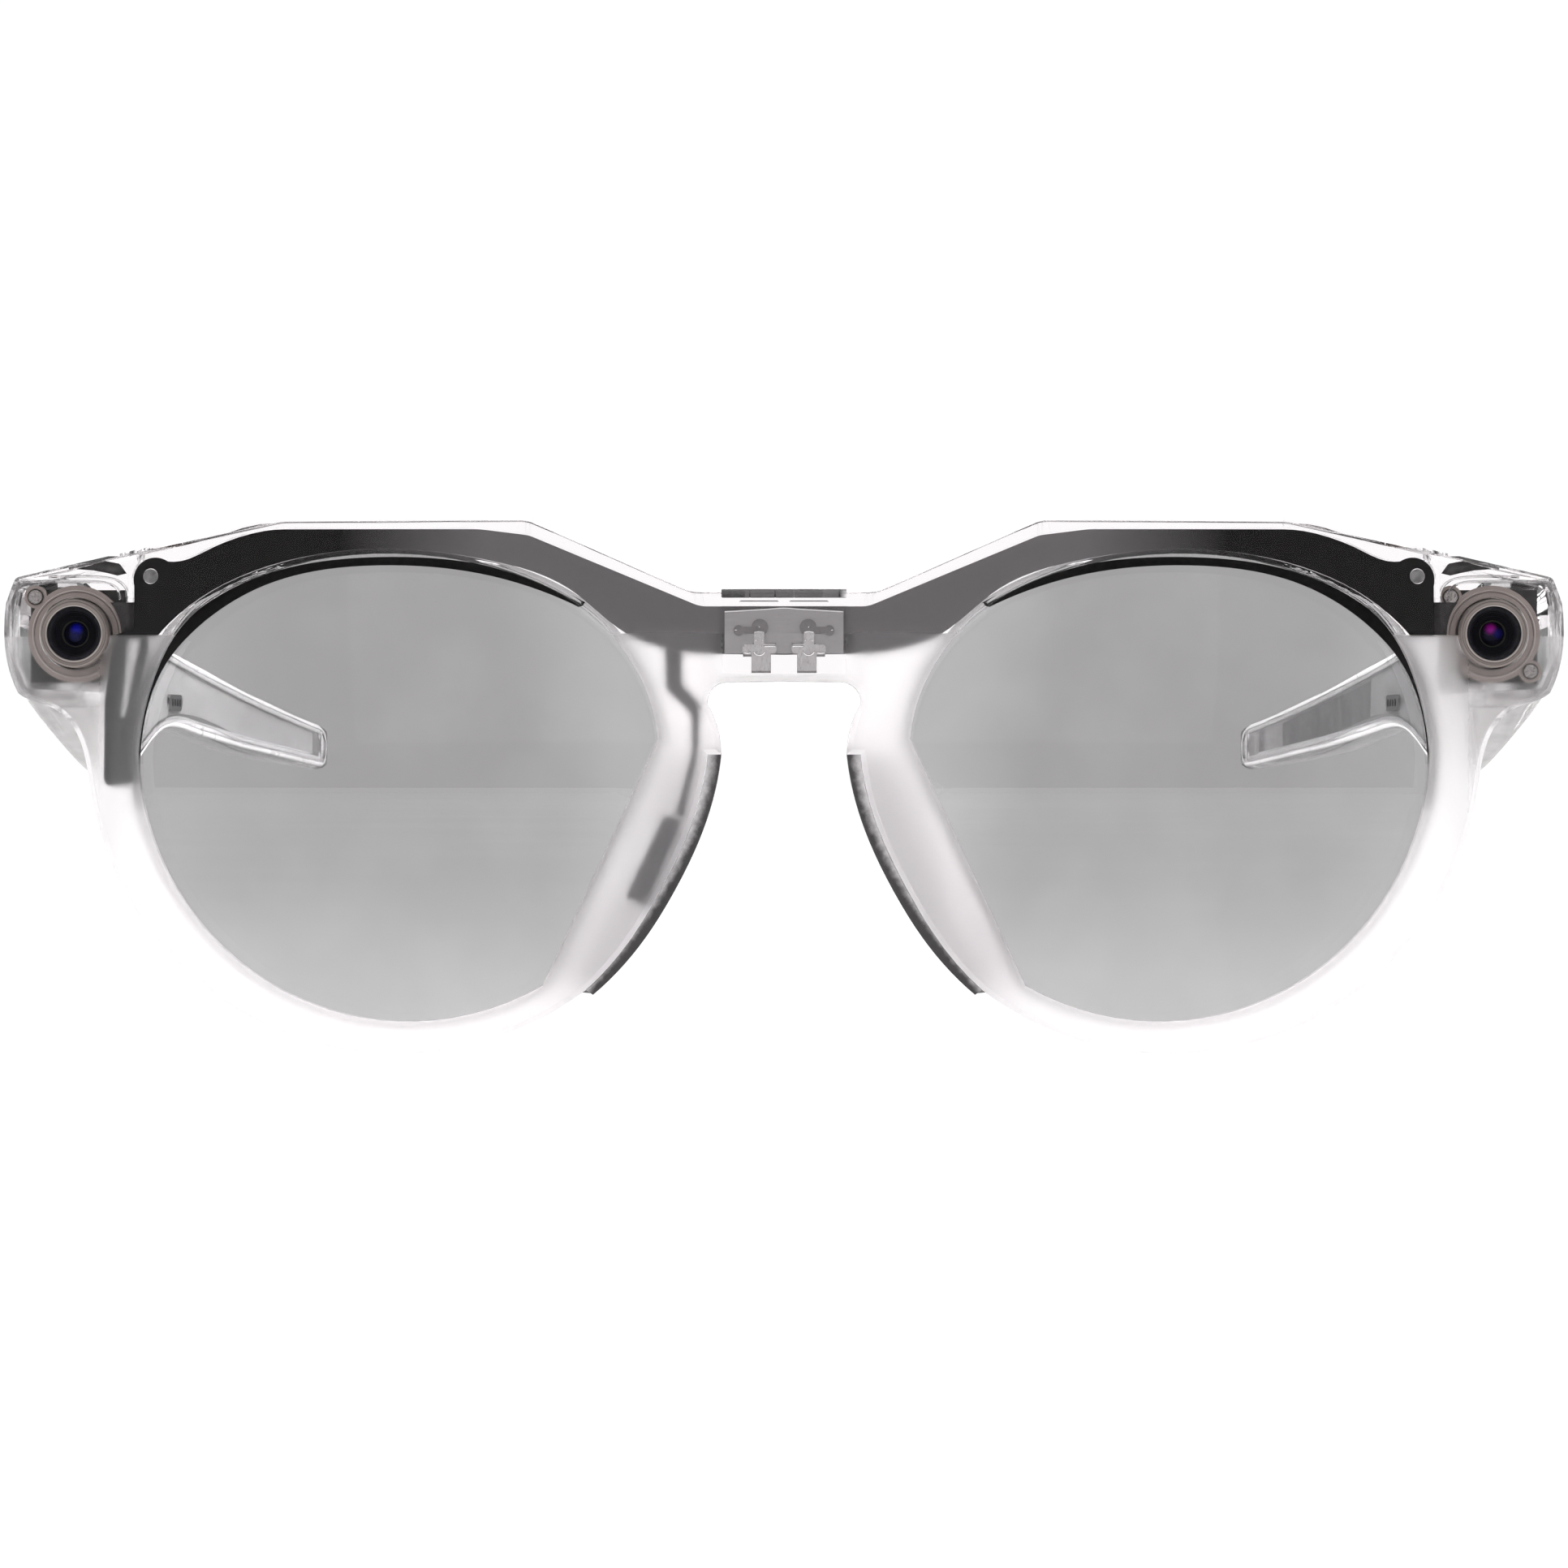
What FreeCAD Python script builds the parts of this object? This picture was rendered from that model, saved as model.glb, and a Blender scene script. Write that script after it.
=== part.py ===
"""Smart glasses with a clear faceted front, two corner cameras, a brow circuit and folding temples.

Working frame, in millimetres: x to the wearer's left, y from the front of the bridge back towards the
ears, z up. z = 0 is the centre line of the lenses and y = 0 is the front face of the bridge. The last
step moves everything so that the lowest point of the rims is z = 0 and the middle of the depth is y = 0.
"right_" and "left_" are the wearer's own sides, so right_ parts have negative x.
"""

import FreeCAD
import Part
import math
import os

V = FreeCAD.Vector

# ---------------------------------------------------------------- driving dimensions
WRAP_R = 300.0            # radius of the front's face curve, seen from above
FRONT_T = 5.0             # thickness of rims and brow, front face to back face
SPLIT = 2.9               # depth of the joint between the front shell and the rear cover
EDGE_BEVEL = 0.5          # bevel along the front's outline, front and back
EDGE_ROUND = 0.45         # rounding round the lens openings
POD_BACK = 17.5           # y of the flat back of the camera pods
POD_INNER_X = 62.1        # inner side of the deep part of each pod
POD_FLOOR = 13.9          # y of the bottom of the pod pocket

BOARD_DEPTH = 1.0         # depth of the front of the brow circuit, and its thickness
BOARD_T = 0.45

LENS_R = 110.0            # radius of the lens front surface
LENS_T = 1.8
LENS_CENTRE = (-36.9, -0.3)
RIM_CENTRE = (-37.1, 4.1)  # centre of the round lower rim, and its radius
RIM_R = 29.9
LENS_LOW_CENTRE = (-36.6, 3.1)  # centre of the round lower edge of the lens opening
LENS_LOW_R = 25.6
LENS_EDGE = 1.032         # lens outline over the opening, which is the depth held by the groove
GROOVE_EDGE = 1.036

CAM_X = 68.4              # camera axis
CAM_Z = 14.5
CAM_FRONT = 7.3           # y of the front rim of the camera barrel
FLANGE_Y = 10.6           # y of the front of the mounting flange

HINGE_X = 66.0
HINGE_Y = 17.7
HINGE_Z = 9.3             # bottom of the hinge barrel
BARREL_R = 1.5
PIN_R = 0.6
KNUCKLE = 1.68            # height of one of the five knuckles

TEMPLE_FRONT = 17.8       # y of the front end of a temple
TEMPLE_END = 148.7
TOP_Z = [(17.8, 19.8), (35.0, 17.6), (60.0, 14.4), (100.0, 10.9), (130.0, 8.5), (148.7, 7.0)]
BOTTOM_Z = [(17.8, 8.2), (26.0, 3.7), (34.0, 1.3), (44.0, 2.3), (52.0, 4.5), (62.0, 5.8),
            (100.0, 3.9), (130.0, 2.6), (148.7, 1.7)]
INNER_X = [(17.8, 67.6), (34.0, 66.7), (60.0, 64.7), (100.0, 61.1), (130.0, 57.9), (148.7, 55.4)]
TEMPLE_T = [(17.8, 7.1), (34.0, 6.5), (60.0, 5.6), (100.0, 4.8), (130.0, 4.2), (148.7, 3.4)]
TEMPLE_ROUND = 1.2        # rounding of the long edges
SLOPE_TOP = (-74.6, 8.6)  # the bulge slopes in between these two points (x, z) of its section
SLOPE_FOOT = (-70.2, 1.2)
WALL = 1.4                # temple walls
COVER_T = 1.0             # inner cover plate of a temple
COVER_START = 29.0
COVER_END = 144.5

BUTTON_TRAVEL = 0.4
SWITCH_TRAVEL = 2.0
GAP = 0.15                # clearance round the button and the power switch

# ---------------------------------------------------------------- outlines, as (x, z), wearer's right side
BROW_TOP = [(0, 18.7, 0), (-8.7, 18.7, 4.0), (-24.4, 25.6, 3.0), (-48.1, 25.6, 5.0),
            (-74.4, 19.95, 0.8), (-75.3, 17.5, 0)]
POD_SIDE = [(-75.5, 14.6), (-75.1, 11.4), (-74.1, 8.8)]
POD_BOTTOM = [(-72.6, 8.0), (-70.8, 7.4), (-68.8, 5.8), (-67.6, 3.3), (-67.0, 0.3)]
NASAL = [(-18.9, -19.65), (-14.9, -15.2), (-11.8, -10.2), (-8.7, -3.5), (-7.3, 2.8)]
PAD_FACE = [(-18.2, -20.1), (-13.6, -15.2), (-10.5, -10.3), (-7.4, -3.5), (-6.0, 2.8)]
LENS_TOP = [(-61.0, 9.4), (-57.6, 15.7), (-50.0, 20.1), (-38.5, 22.0), (-28.3, 20.8),
            (-19.4, 16.9), (-13.9, 10.6), (-12.0, 4.3)]
LENS_LOW_CORNER = (-23.0, -19.2)
BOARD_TOP = [(0, 16.9, 0), (-8.0, 16.9, 3.0), (-24.3, 23.7, 3.0), (-29.0, 24.3, 8.0), (-47.8, 24.4, 8.0)]
BOARD_SHOULDER = [(-51.8, 23.8), (-54.8, 22.7), (-57.6, 21.5), (-59.2, 21.4)]
BOARD_EAR = (-60.9, 20.0)
BOARD_LOW = [(-56.5, 17.6), (-52.6, 19.75), (-43.9, 22.1), (-38.4, 22.5), (-28.3, 21.4),
             (-20.3, 18.5), (-14.6, 14.1), (-11.3, 12.9), (-8.2, 12.4)]

made = {}


# ---------------------------------------------------------------- drawing helpers
def at(x, z, y=0.0):
    return V(x, y, z)


def spline_through(points):
    curve = Part.BSplineCurve()
    curve.interpolate(points)
    return curve.toShape()


def corner_points(before, corner, after, radius):
    """Start, middle and end of the arc that rounds a corner."""
    a = (before - corner).normalize()
    b = (after - corner).normalize()
    half = a.getAngle(b) / 2
    reach = radius / math.tan(half)
    middle = (a + b).normalize() * (radius / math.sin(half) - radius)
    return corner + a * reach, corner + middle, corner + b * reach


def rounded_edges(vertices, y=0.0):
    """Straight edges through (x, z, radius) vertices, with an arc at each one whose radius isn't 0."""
    points = [at(x, z, y) for x, z, _ in vertices]
    edges = []
    here = points[0]
    for i in range(1, len(points)):
        radius = vertices[i][2]
        if radius and i + 1 < len(points):
            start, middle, end = corner_points(points[i - 1], points[i], points[i + 1], radius)
            edges.append(Part.makeLine(here, start))
            edges.append(Part.Arc(start, middle, end).toShape())
            here = end
        else:
            edges.append(Part.makeLine(here, points[i]))
            here = points[i]
    return edges


def arc_between(start, end, centre, radius):
    """Arc in the front plane from start to end about a centre, by way of the lowest side."""
    chord = at(*end) - at(*start)
    middle = at(*centre) + V(-chord.z, 0, chord.x).normalize() * -radius * (1 if chord.x > 0 else -1)
    return Part.Arc(at(*start), middle, at(*end)).toShape()


def face_of(edges):
    return Part.Face(Part.Wire(Part.__sortEdges__(edges)))


def mirrored(shape):
    return shape.mirror(V(0, 0, 0), V(1, 0, 0))


def whole_face(half_edges):
    """Face from the edges of its right half, which start and end on x = 0."""
    return face_of(half_edges + [mirrored(e) for e in half_edges])


def slab(face, y0, y1):
    """Front-plane face pushed back from y0 to y1."""
    return face.translated(V(0, y0, 0)).extrude(V(0, y1 - y0, 0))


def wrap_y(x, depth=0.0):
    """y of the surface that lies the given depth behind the wrapped front face."""
    return WRAP_R - math.sqrt((WRAP_R - depth) ** 2 - x * x)


def behind(depth):
    """Everything behind the wrapped surface at that depth, as far as y = 60."""
    drum = Part.makeCylinder(WRAP_R - depth, 90, V(0, WRAP_R, -45), V(0, 0, 1))
    return drum.common(Part.makeBox(200, 70, 90, V(-100, -10, -45)))


def layer(face, depth0, depth1):
    """Front-plane face as a wrapped sheet between two depths behind the front face."""
    prism = slab(face, -8, 40)
    return prism.common(behind(depth0)).cut(behind(depth1))


def grown(points, distance):
    """Corners (x, z, ...) of a closed outline, each moved outwards so that the sides move by distance."""
    n = len(points)
    area = sum(points[i - 1][0] * points[i][1] - points[i][0] * points[i - 1][1] for i in range(n))
    turn = distance if area > 0 else -distance
    result = []
    for i in range(n):
        before = V(points[i][0] - points[i - 1][0], points[i][1] - points[i - 1][1], 0).normalize()
        after_point = points[(i + 1) % n]
        after = V(after_point[0] - points[i][0], after_point[1] - points[i][1], 0).normalize()
        a = V(before.y, -before.x, 0)
        b = V(after.y, -after.x, 0)
        step = (a + b) * (turn / (1 + a.dot(b)))
        result.append((points[i][0] + step.x, points[i][1] + step.y) + tuple(points[i][2:]))
    return result


def disc(x, z, radius, y0, y1):
    return Part.makeCylinder(radius, y1 - y0, V(x, y0, z), V(0, 1, 0))


def box(x0, x1, y0, y1, z0, z1):
    return Part.makeBox(x1 - x0, y1 - y0, z1 - z0, V(x0, y0, z0))


def polygon_face(vertices):
    """Closed face from (x, z, radius) vertices; every corner is rounded by its radius."""
    points = [at(x, z) for x, z, _ in vertices]
    n = len(points)
    edges = []
    arcs = [
        corner_points(points[i - 1], points[i], points[(i + 1) % n], max(vertices[i][2], 0.01))
        for i in range(n)
    ]
    for i in range(n):
        start, middle, end = arcs[i]
        edges.append(Part.Arc(start, middle, end).toShape())
        edges.append(Part.makeLine(end, arcs[(i + 1) % n][0]))
    return face_of(edges)


def fused(shapes):
    result = shapes[0]
    for shape in shapes[1:]:
        result = result.fuse(shape)
    return result.removeSplitter()


def rounded(solid, edges, radius):
    """The solid with those edges rounded, or as it was where the kernel can't round them."""
    try:
        result = solid.makeFillet(radius, edges)
        if result.isValid() and result.Volume > 0.8 * solid.Volume:
            return result
    except Exception:
        pass
    print("not rounded:", len(edges), "edges at", radius)
    return solid


def bevelled(solid, edges, size):
    """The solid with those edges bevelled, or as it was where the kernel can't bevel them."""
    try:
        result = solid.makeChamfer(size, edges)
        if result.isValid() and result.Volume > 0.8 * solid.Volume:
            return result
    except Exception:
        pass
    print("not bevelled:", len(edges), "edges at", size)
    return solid


def keep(name, shape):
    made[name] = shape


def both_sides(name, shape):
    """Keeps the right-hand piece and its mirror image."""
    keep("right_" + name, shape)
    keep("left_" + name, mirrored(shape))


# ---------------------------------------------------------------- the front: faces
def front_face():
    """Outline of the front, with the notch for the nose."""
    edges = rounded_edges(BROW_TOP)
    side = [at(*BROW_TOP[-1][:2])] + [at(*p) for p in POD_SIDE]
    edges.append(spline_through(side))
    bottom = [at(*POD_SIDE[-1])] + [at(*p) for p in POD_BOTTOM]
    edges.append(spline_through(bottom))
    edges.append(arc_between(POD_BOTTOM[-1], NASAL[0], RIM_CENTRE, RIM_R))
    edges.append(spline_through([at(*p) for p in NASAL]))
    edges.append(Part.makeLine(at(*NASAL[-1]), at(*PAD_FACE[-1])))
    edges.append(spline_through([at(-6.0, 2.8), at(-6.2, 4.8), at(-7.3, 7.6)]))
    edges.append(Part.Arc(at(-7.3, 7.6), at(-6.9, 9.0), at(-5.2, 9.7)).toShape())
    edges.append(Part.makeLine(at(-5.2, 9.7), at(0, 9.8)))
    return whole_face(edges)


def lens_face(scale=1.0):
    """Right lens opening, scaled about the lens centre."""
    edges = [
        Part.makeLine(at(*LENS_TOP[-1]), at(*LENS_LOW_CORNER)),
        Part.Arc(
            at(*LENS_LOW_CORNER),
            at(LENS_LOW_CENTRE[0] - LENS_LOW_R * 0.4, LENS_LOW_CENTRE[1] - LENS_LOW_R * 0.9165),
            at(LENS_LOW_CENTRE[0] - LENS_LOW_R, LENS_LOW_CENTRE[1]),
        ).toShape(),
        spline_through(
            [at(LENS_LOW_CENTRE[0] - LENS_LOW_R, LENS_LOW_CENTRE[1])] + [at(*p) for p in LENS_TOP]
        ),
    ]
    face = face_of(edges)
    matrix = FreeCAD.Matrix()
    matrix.move(V(-LENS_CENTRE[0], 0, -LENS_CENTRE[1]))
    matrix.scale(scale, 1.0, scale)
    matrix.move(V(LENS_CENTRE[0], 0, LENS_CENTRE[1]))
    return face.transformGeometry(matrix)


def pod_face():
    """Deep part of the right pod, behind the camera."""
    top_at_inner = 25.6 - (POD_INNER_X - 48.1) * (25.6 - 19.95) / (74.4 - 48.1)
    edges = rounded_edges(
        [(-POD_INNER_X, top_at_inner, 0), (-74.4, 19.95, 0.8), (-75.3, 17.5, 0)]
    )
    edges.append(spline_through([at(-75.3, 17.5)] + [at(*p) for p in POD_SIDE]))
    edges.append(spline_through([at(*POD_SIDE[-1]), at(-72.6, 8.0), at(-70.8, 7.4)]))
    edges.append(Part.makeLine(at(-70.8, 7.4), at(-POD_INNER_X, 7.4)))
    edges.append(Part.makeLine(at(-POD_INNER_X, 7.4), at(-POD_INNER_X, top_at_inner)))
    return face_of(edges)


def pod_pocket_face():
    return polygon_face(
        [(-63.1, 21.35, 0.8), (-74.0, 19.0, 0.6), (-74.4, 16.6, 1.5), (-74.4, 12.0, 2.0),
         (-73.2, 9.2, 0.8), (-63.1, 8.75, 0.8)]
    )


def board_half_face(grow=0.0):
    """Right half of the brow circuit with its ear, grown outwards by that much."""
    ear_x, ear_z = BOARD_EAR
    ear = [(ear_x - 1.0, ear_z + 1.2), (ear_x - 1.6, ear_z - 0.9)]
    heel = [(-62.5, 14.2), (-60.3, 14.2)]
    outline = [v[:2] for v in BOARD_TOP] + BOARD_SHOULDER + ear + heel + BOARD_LOW + [(0, 12.3)]
    if grow:
        outline = grown(outline, grow)
    top = [point + (v[2],) for point, v in zip(outline, BOARD_TOP)]
    points = [at(*p) for p in outline]
    i = len(BOARD_TOP) - 1
    j = i + len(BOARD_SHOULDER)
    k = j + 4
    return face_of(
        rounded_edges(top)
        + [
            spline_through(points[i:j + 1]),
            Part.Arc(points[j], points[j + 1], points[j + 2]).toShape(),
            Part.makeLine(points[j + 2], points[j + 3]),
            Part.makeLine(points[j + 3], points[k]),
            spline_through(points[k:-1]),
            Part.makeLine(points[-2], points[-1]),
            Part.makeLine(points[-1], points[0]),
        ]
    )


# The side leg is a loop: two stripes that start at the board and join at the bottom.
SIDE_LEG = [(-64.3, 14.4, 0.2), (-61.0, 15.4, 0.2), (-61.2, 12.6, 0.6), (-62.3, 8.0, 2.0),
            (-62.75, -0.2, 0.8), (-65.5, -0.2, 0.8), (-65.4, 8.0, 2.0), (-64.9, 12.0, 2.0)]
SIDE_LEG_SLOT = [(-63.05, 13.9, 0.2), (-61.95, 13.9, 0.2), (-63.5, 6.4, 0.1), (-63.8, 6.4, 0.1)]
NOSE_LEG = [(-11.35, 13.4, 0.3), (-11.2, 9.0, 0.5), (-8.85, 6.7, 0.5), (-8.75, 3.2, 1.0), (-10.4, -2.8, 0.2),
            (-9.5, -3.2, 0.2), (-8.15, 3.0, 0.8), (-7.95, 7.6, 0.4), (-9.7, 9.5, 0.3), (-9.7, 13.4, 0.3)]
NOSE_SENSOR = [(-11.4, -2.8, 0.4), (-9.6, -3.5, 0.4), (-13.2, -11.6, 0.4), (-15.2, -10.8, 0.4)]


# ---------------------------------------------------------------- the front: lenses
def lens_frame():
    """Centre of the lens front sphere."""
    x = LENS_CENTRE[0]
    lift = WRAP_R - 0.1
    vertex = V(x, WRAP_R - math.sqrt(lift ** 2 - x * x), LENS_CENTRE[1])
    normal = (V(0, WRAP_R, LENS_CENTRE[1]) - vertex).normalize()
    return vertex + normal * LENS_R


def lens_layer(face, outward, inward):
    """Sheet that follows the lens: from outward in front of its face to inward behind it."""
    centre = lens_frame()
    prism = slab(face, -8, 30)
    return prism.common(Part.makeSphere(LENS_R + outward, centre)).cut(
        Part.makeSphere(LENS_R - inward, centre)
    )


def gasket_face():
    """Dark seal along the top and outer edge of the right lens, thin at both ends."""
    outer = [(-62.75, -2.6), (-62.85, 2.4), (-62.3, 7.6), (-60.5, 12.4), (-57.0, 16.35), (-50.3, 20.0),
             (-38.5, 21.75), (-28.0, 20.8), (-18.9, 17.3)]
    inner = [(-19.6, 16.9), (-28.5, 20.0), (-38.5, 20.95), (-49.8, 19.15), (-56.2, 15.35), (-59.6, 11.6),
             (-61.5, 7.1), (-62.15, 2.2), (-62.2, -2.6)]
    return face_of([
        spline_through([at(*p) for p in outer]),
        Part.makeLine(at(*outer[-1]), at(*inner[0])),
        spline_through([at(*p) for p in inner]),
        Part.makeLine(at(*inner[-1]), at(*outer[0])),
    ])


GASKET_T = 0.35


def make_lenses():
    lens = lens_layer(lens_face(LENS_EDGE), 0, LENS_T)
    both_sides("lens", lens)
    seal = lens_layer(gasket_face(), GASKET_T, -0.03)
    both_sides("lens_seal", seal.common(slab(lens_face(LENS_EDGE), -8, 30)))


# ---------------------------------------------------------------- the front: shells
def mirror_pair(shape):
    return [shape, mirrored(shape)]


def camera_ears():
    """Ear centres of one camera flange, as offsets (x, z) from its axis. Both cameras are the same part."""
    return [(-3.95, 3.6), (3.75, -3.6)]


def hinge_notch():
    """Room in the back of the right pod for the hinge leaf and barrel."""
    return box(-68.4, -62.0, 14.9, 18.0, HINGE_Z - 0.35, HINGE_Z + 5 * KNUCKLE + 0.35)


def edges_at_depth(solid, depth):
    """Edges that lie on the wrapped surface at that depth."""
    found = []
    for edge in solid.Edges:
        points = [edge.valueAt(edge.FirstParameter + t * (edge.LastParameter - edge.FirstParameter))
                  for t in (0.0, 0.5, 1.0)]
        if all(abs(p.y - wrap_y(p.x, depth)) < 1e-3 for p in points):
            found.append(edge)
    return found


def rim_sheet(depth0, depth1, face_depth):
    """Sheet with the lens openings; its edges are softened on the side that shows."""
    sheet = layer(front_face(), depth0, depth1)
    sheet = bevelled(sheet, edges_at_depth(sheet, face_depth), EDGE_BEVEL)
    outline = [e.CenterOfMass for e in edges_at_depth(sheet, face_depth)]
    for opening in mirror_pair(slab(lens_face(), -8, 40)):
        sheet = sheet.cut(opening)
    fresh = [e for e in edges_at_depth(sheet, face_depth)
             if min(e.CenterOfMass.distanceToPoint(p) for p in outline) > 1e-3]
    return rounded(sheet, fresh, EDGE_ROUND)


def make_front_shell():
    """Clear front moulding: a wrapped sheet with pockets from behind."""
    shell = rim_sheet(0, SPLIT, 0)

    for pocket in circuit_layers(0.15, BOARD_DEPTH - 0.02, SPLIT + 0.5):
        shell = shell.cut(pocket)
    camera_pocket = layer(pod_pocket_face(), 1.2, SPLIT + 0.5)
    for pocket in mirror_pair(camera_pocket):
        shell = shell.cut(pocket)
    bridge_pocket = layer(rectangle(-6.0, 6.0, 10.4, 16.9), 0.45, SPLIT + 0.5)
    strip_pocket = layer(rectangle(-6.0, 6.0, 17.7, 18.4), 0.7, SPLIT + 0.5)
    shell = shell.cut(bridge_pocket).cut(strip_pocket)
    for side in (-1, 1):
        shell = shell.cut(disc(side * CAM_X, CAM_Z, 3.5, 0, 20))
    return shell.cut(fused(groove_solids()))


def circuit_layers(grow, depth0, depth1):
    """The brow circuit, its two legs and the sensor, each grown and placed between two depths."""
    right = layer(board_half_face(grow), depth0, depth1)
    faces = [polygon_face(grown(outline, grow)) for outline in (SIDE_LEG, NOSE_LEG, NOSE_SENSOR)]
    return [right, mirrored(right)] + [layer(f, depth0, depth1) for f in faces]


def groove_solids():
    """Room for lenses and seals, which reaches into the front shell and the rear cover."""
    groove = lens_layer(lens_face(GROOVE_EDGE), 0.05, LENS_T + 0.05)
    seal = lens_layer(gasket_face(), GASKET_T + 0.04, 0)
    return mirror_pair(groove) + mirror_pair(seal)


def rectangle(x0, x1, z0, z1):
    corners = [at(x0, z0), at(x1, z0), at(x1, z1), at(x0, z1), at(x0, z0)]
    return Part.Face(Part.makePolygon(corners))


def pad_curve(points, y, shift, offset):
    """One edge of the nose pad's section at depth y: moved outwards by shift, then by offset."""
    return [V(x - shift - offset, y, z) for x, z in points]


PAD_START = 1.6
PAD_BEND = 5.0
PAD_END = 12.0
PAD_FLARE = 3.4


def pad_section(outer, inner):
    edges = [
        spline_through(outer),
        Part.makeLine(outer[-1], inner[-1]),
        spline_through(inner),
        Part.makeLine(inner[0], outer[0]),
    ]
    return Part.Wire(Part.__sortEdges__(edges))


def nose_pad():
    """Rubber pad over the nose side of the right rim; behind the rim it flares out with the nose."""
    sections = []
    for y, shift, thick in ((PAD_START, 0, 0), (PAD_BEND, 0, 0), (PAD_END, PAD_FLARE, 0.25)):
        outer = pad_curve(PAD_FACE, y, shift, 0)
        inner = pad_curve(NASAL, y, shift, thick - 0.06)
        sections.append(pad_section(outer, inner))
    front = Part.makeLoft(sections[:2], True, True)
    back = Part.makeLoft(sections[1:], True, True)
    return fused([front, back])


def pad_arm():
    """Fin of the rear cover that carries the flared part of the pad."""
    sections = []
    for y, shift, thick in ((3.2, 0, 0), (PAD_BEND, 0, 0), (PAD_END - 0.8, PAD_FLARE * 0.886, 0.22)):
        outer = pad_curve(NASAL, y, shift, thick)
        inner = pad_curve(NASAL, y, shift, thick + 1.7)
        sections.append(pad_section(outer, inner))
    front = Part.makeLoft(sections[:2], True, True)
    back = Part.makeLoft(sections[1:], True, True)
    return fused([front, back])


def make_rear_cover():
    """Clear back moulding: a wrapped sheet, two deep pods and the arms under the nose pads."""
    sheet = rim_sheet(SPLIT, FRONT_T, FRONT_T)
    pod = slab(pod_face(), 0, POD_BACK).common(behind(SPLIT))
    pod = rounded(pod, [e for e in pod.Edges if e.BoundBox.YMin > POD_BACK - 0.1], 0.6)
    pocket = slab(pod_pocket_face(), 0, POD_FLOOR)
    arm = pad_arm().common(behind(SPLIT))
    cover = fused([sheet] + mirror_pair(pod) + mirror_pair(arm))
    screw_holes = [disc(x, z, 0.42, 14.2, 16) for x, z in leaf_screw_spots()]
    cuts = mirror_pair(pocket) + mirror_pair(hinge_notch()) + mirror_pair(fused_apart(screw_holes))
    for cut in cuts + groove_solids():
        cover = cover.cut(cut)
    for x in (-2.3, 2.3):
        cover = cover.cut(disc(x, 14.4, 0.92, 0, 8))
    return cover


def fused_apart(shapes):
    """Several solids that don't touch, as one shape."""
    return Part.makeCompound(shapes)


def leaf_screw_spots():
    """Centres of the two screws of the right hinge's front leaf."""
    return [(-67.2, HINGE_Z + 2.5), (-67.2, HINGE_Z + 5 * KNUCKLE - 2.5)]


def pressure_rib():
    """Rib that holds the board against the floor of its pocket."""
    half = layer(board_half_face(-0.35), BOARD_DEPTH + BOARD_T + 0.02, SPLIT)
    rib = fused([half, mirrored(half)])
    clear = [layer(rectangle(-6.2, 6.2, 10.0, 18.5), 0, SPLIT)]
    for x, z in (BOARD_EAR, (-BOARD_EAR[0], BOARD_EAR[1])):
        clear.append(disc(x, z, 0.7, 0, 30))
    clear += groove_solids()
    for piece in clear:
        rib = rib.cut(piece)
    return rib


# ---------------------------------------------------------------- the front: electronics
def make_brow():
    low = BOARD_DEPTH
    high = BOARD_DEPTH + BOARD_T
    half = layer(board_half_face(), low, high)
    leg = layer(polygon_face(SIDE_LEG), low, high).cut(layer(polygon_face(SIDE_LEG_SLOT), 0, SPLIT))
    board = fused([half, mirrored(half)])
    for hole in mirror_pair(disc(BOARD_EAR[0], BOARD_EAR[1], 0.75, 0, 30)):
        board = board.cut(hole)
    nose_leg = layer(polygon_face(NOSE_LEG), low, high)
    keep("brow_flex_board", board)
    keep("right_antenna_flex", leg.cut(board))
    keep("nose_flex", nose_leg.cut(board))
    keep("nose_sensor", layer(polygon_face(NOSE_SENSOR), low + 0.05, 2.8).cut(nose_leg))
    pin = layer(disc_face(BOARD_EAR[0], BOARD_EAR[1], 0.68), low, SPLIT - 0.02)
    keep("board_locating_pins", Part.makeCompound(mirror_pair(pin)))


def disc_face(x, z, radius):
    return Part.Face(Part.Wire(Part.makeCircle(radius, at(x, z), V(0, 1, 0))))


def contact_spring():
    """Stamped spring under the right charging pin: a round head, a side tab and a cross-shaped tail."""
    pieces = [
        disc_face(-2.3, 14.9, 0.8),
        rectangle(-4.3, -2.3, 14.3, 14.95),
        disc_face(-4.3, 14.6, 0.5),
        rectangle(-2.75, -1.85, 12.6, 15.0),
        rectangle(-3.9, -2.9, 12.1, 13.2),
        rectangle(-3.0, -0.75, 12.3, 13.4),
        rectangle(-3.1, -1.25, 10.55, 12.5),
    ]
    return fused([layer(p, 0.5, 0.68) for p in pieces])


def make_bridge():
    plate = polygon_face([(-5.65, 12.4, 0.1), (-5.65, 16.45, 0.1), (0, 16.75, 0.1), (5.65, 16.45, 0.1),
                          (5.65, 12.4, 0.1)])
    keep("bridge_plate", layer(plate, 0.7, 0.95))
    both_sides("contact_spring", contact_spring())
    pins = [disc(x, 14.4, 0.9, 0, wrap_y(x, FRONT_T) + 0.15).common(behind(1.5)) for x in (-2.3, 2.3)]
    keep("charging_pins", Part.makeCompound(pins))
    strips = [layer(rectangle(x, x + width, 17.75, 18.35), 0.75, 2.6)
              for x, width in ((-5.9, 2.6), (-3.2, 2.3), (-0.8, 1.7), (1.0, 4.9))]
    keep("bridge_led_strip", Part.makeCompound(strips))


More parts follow.
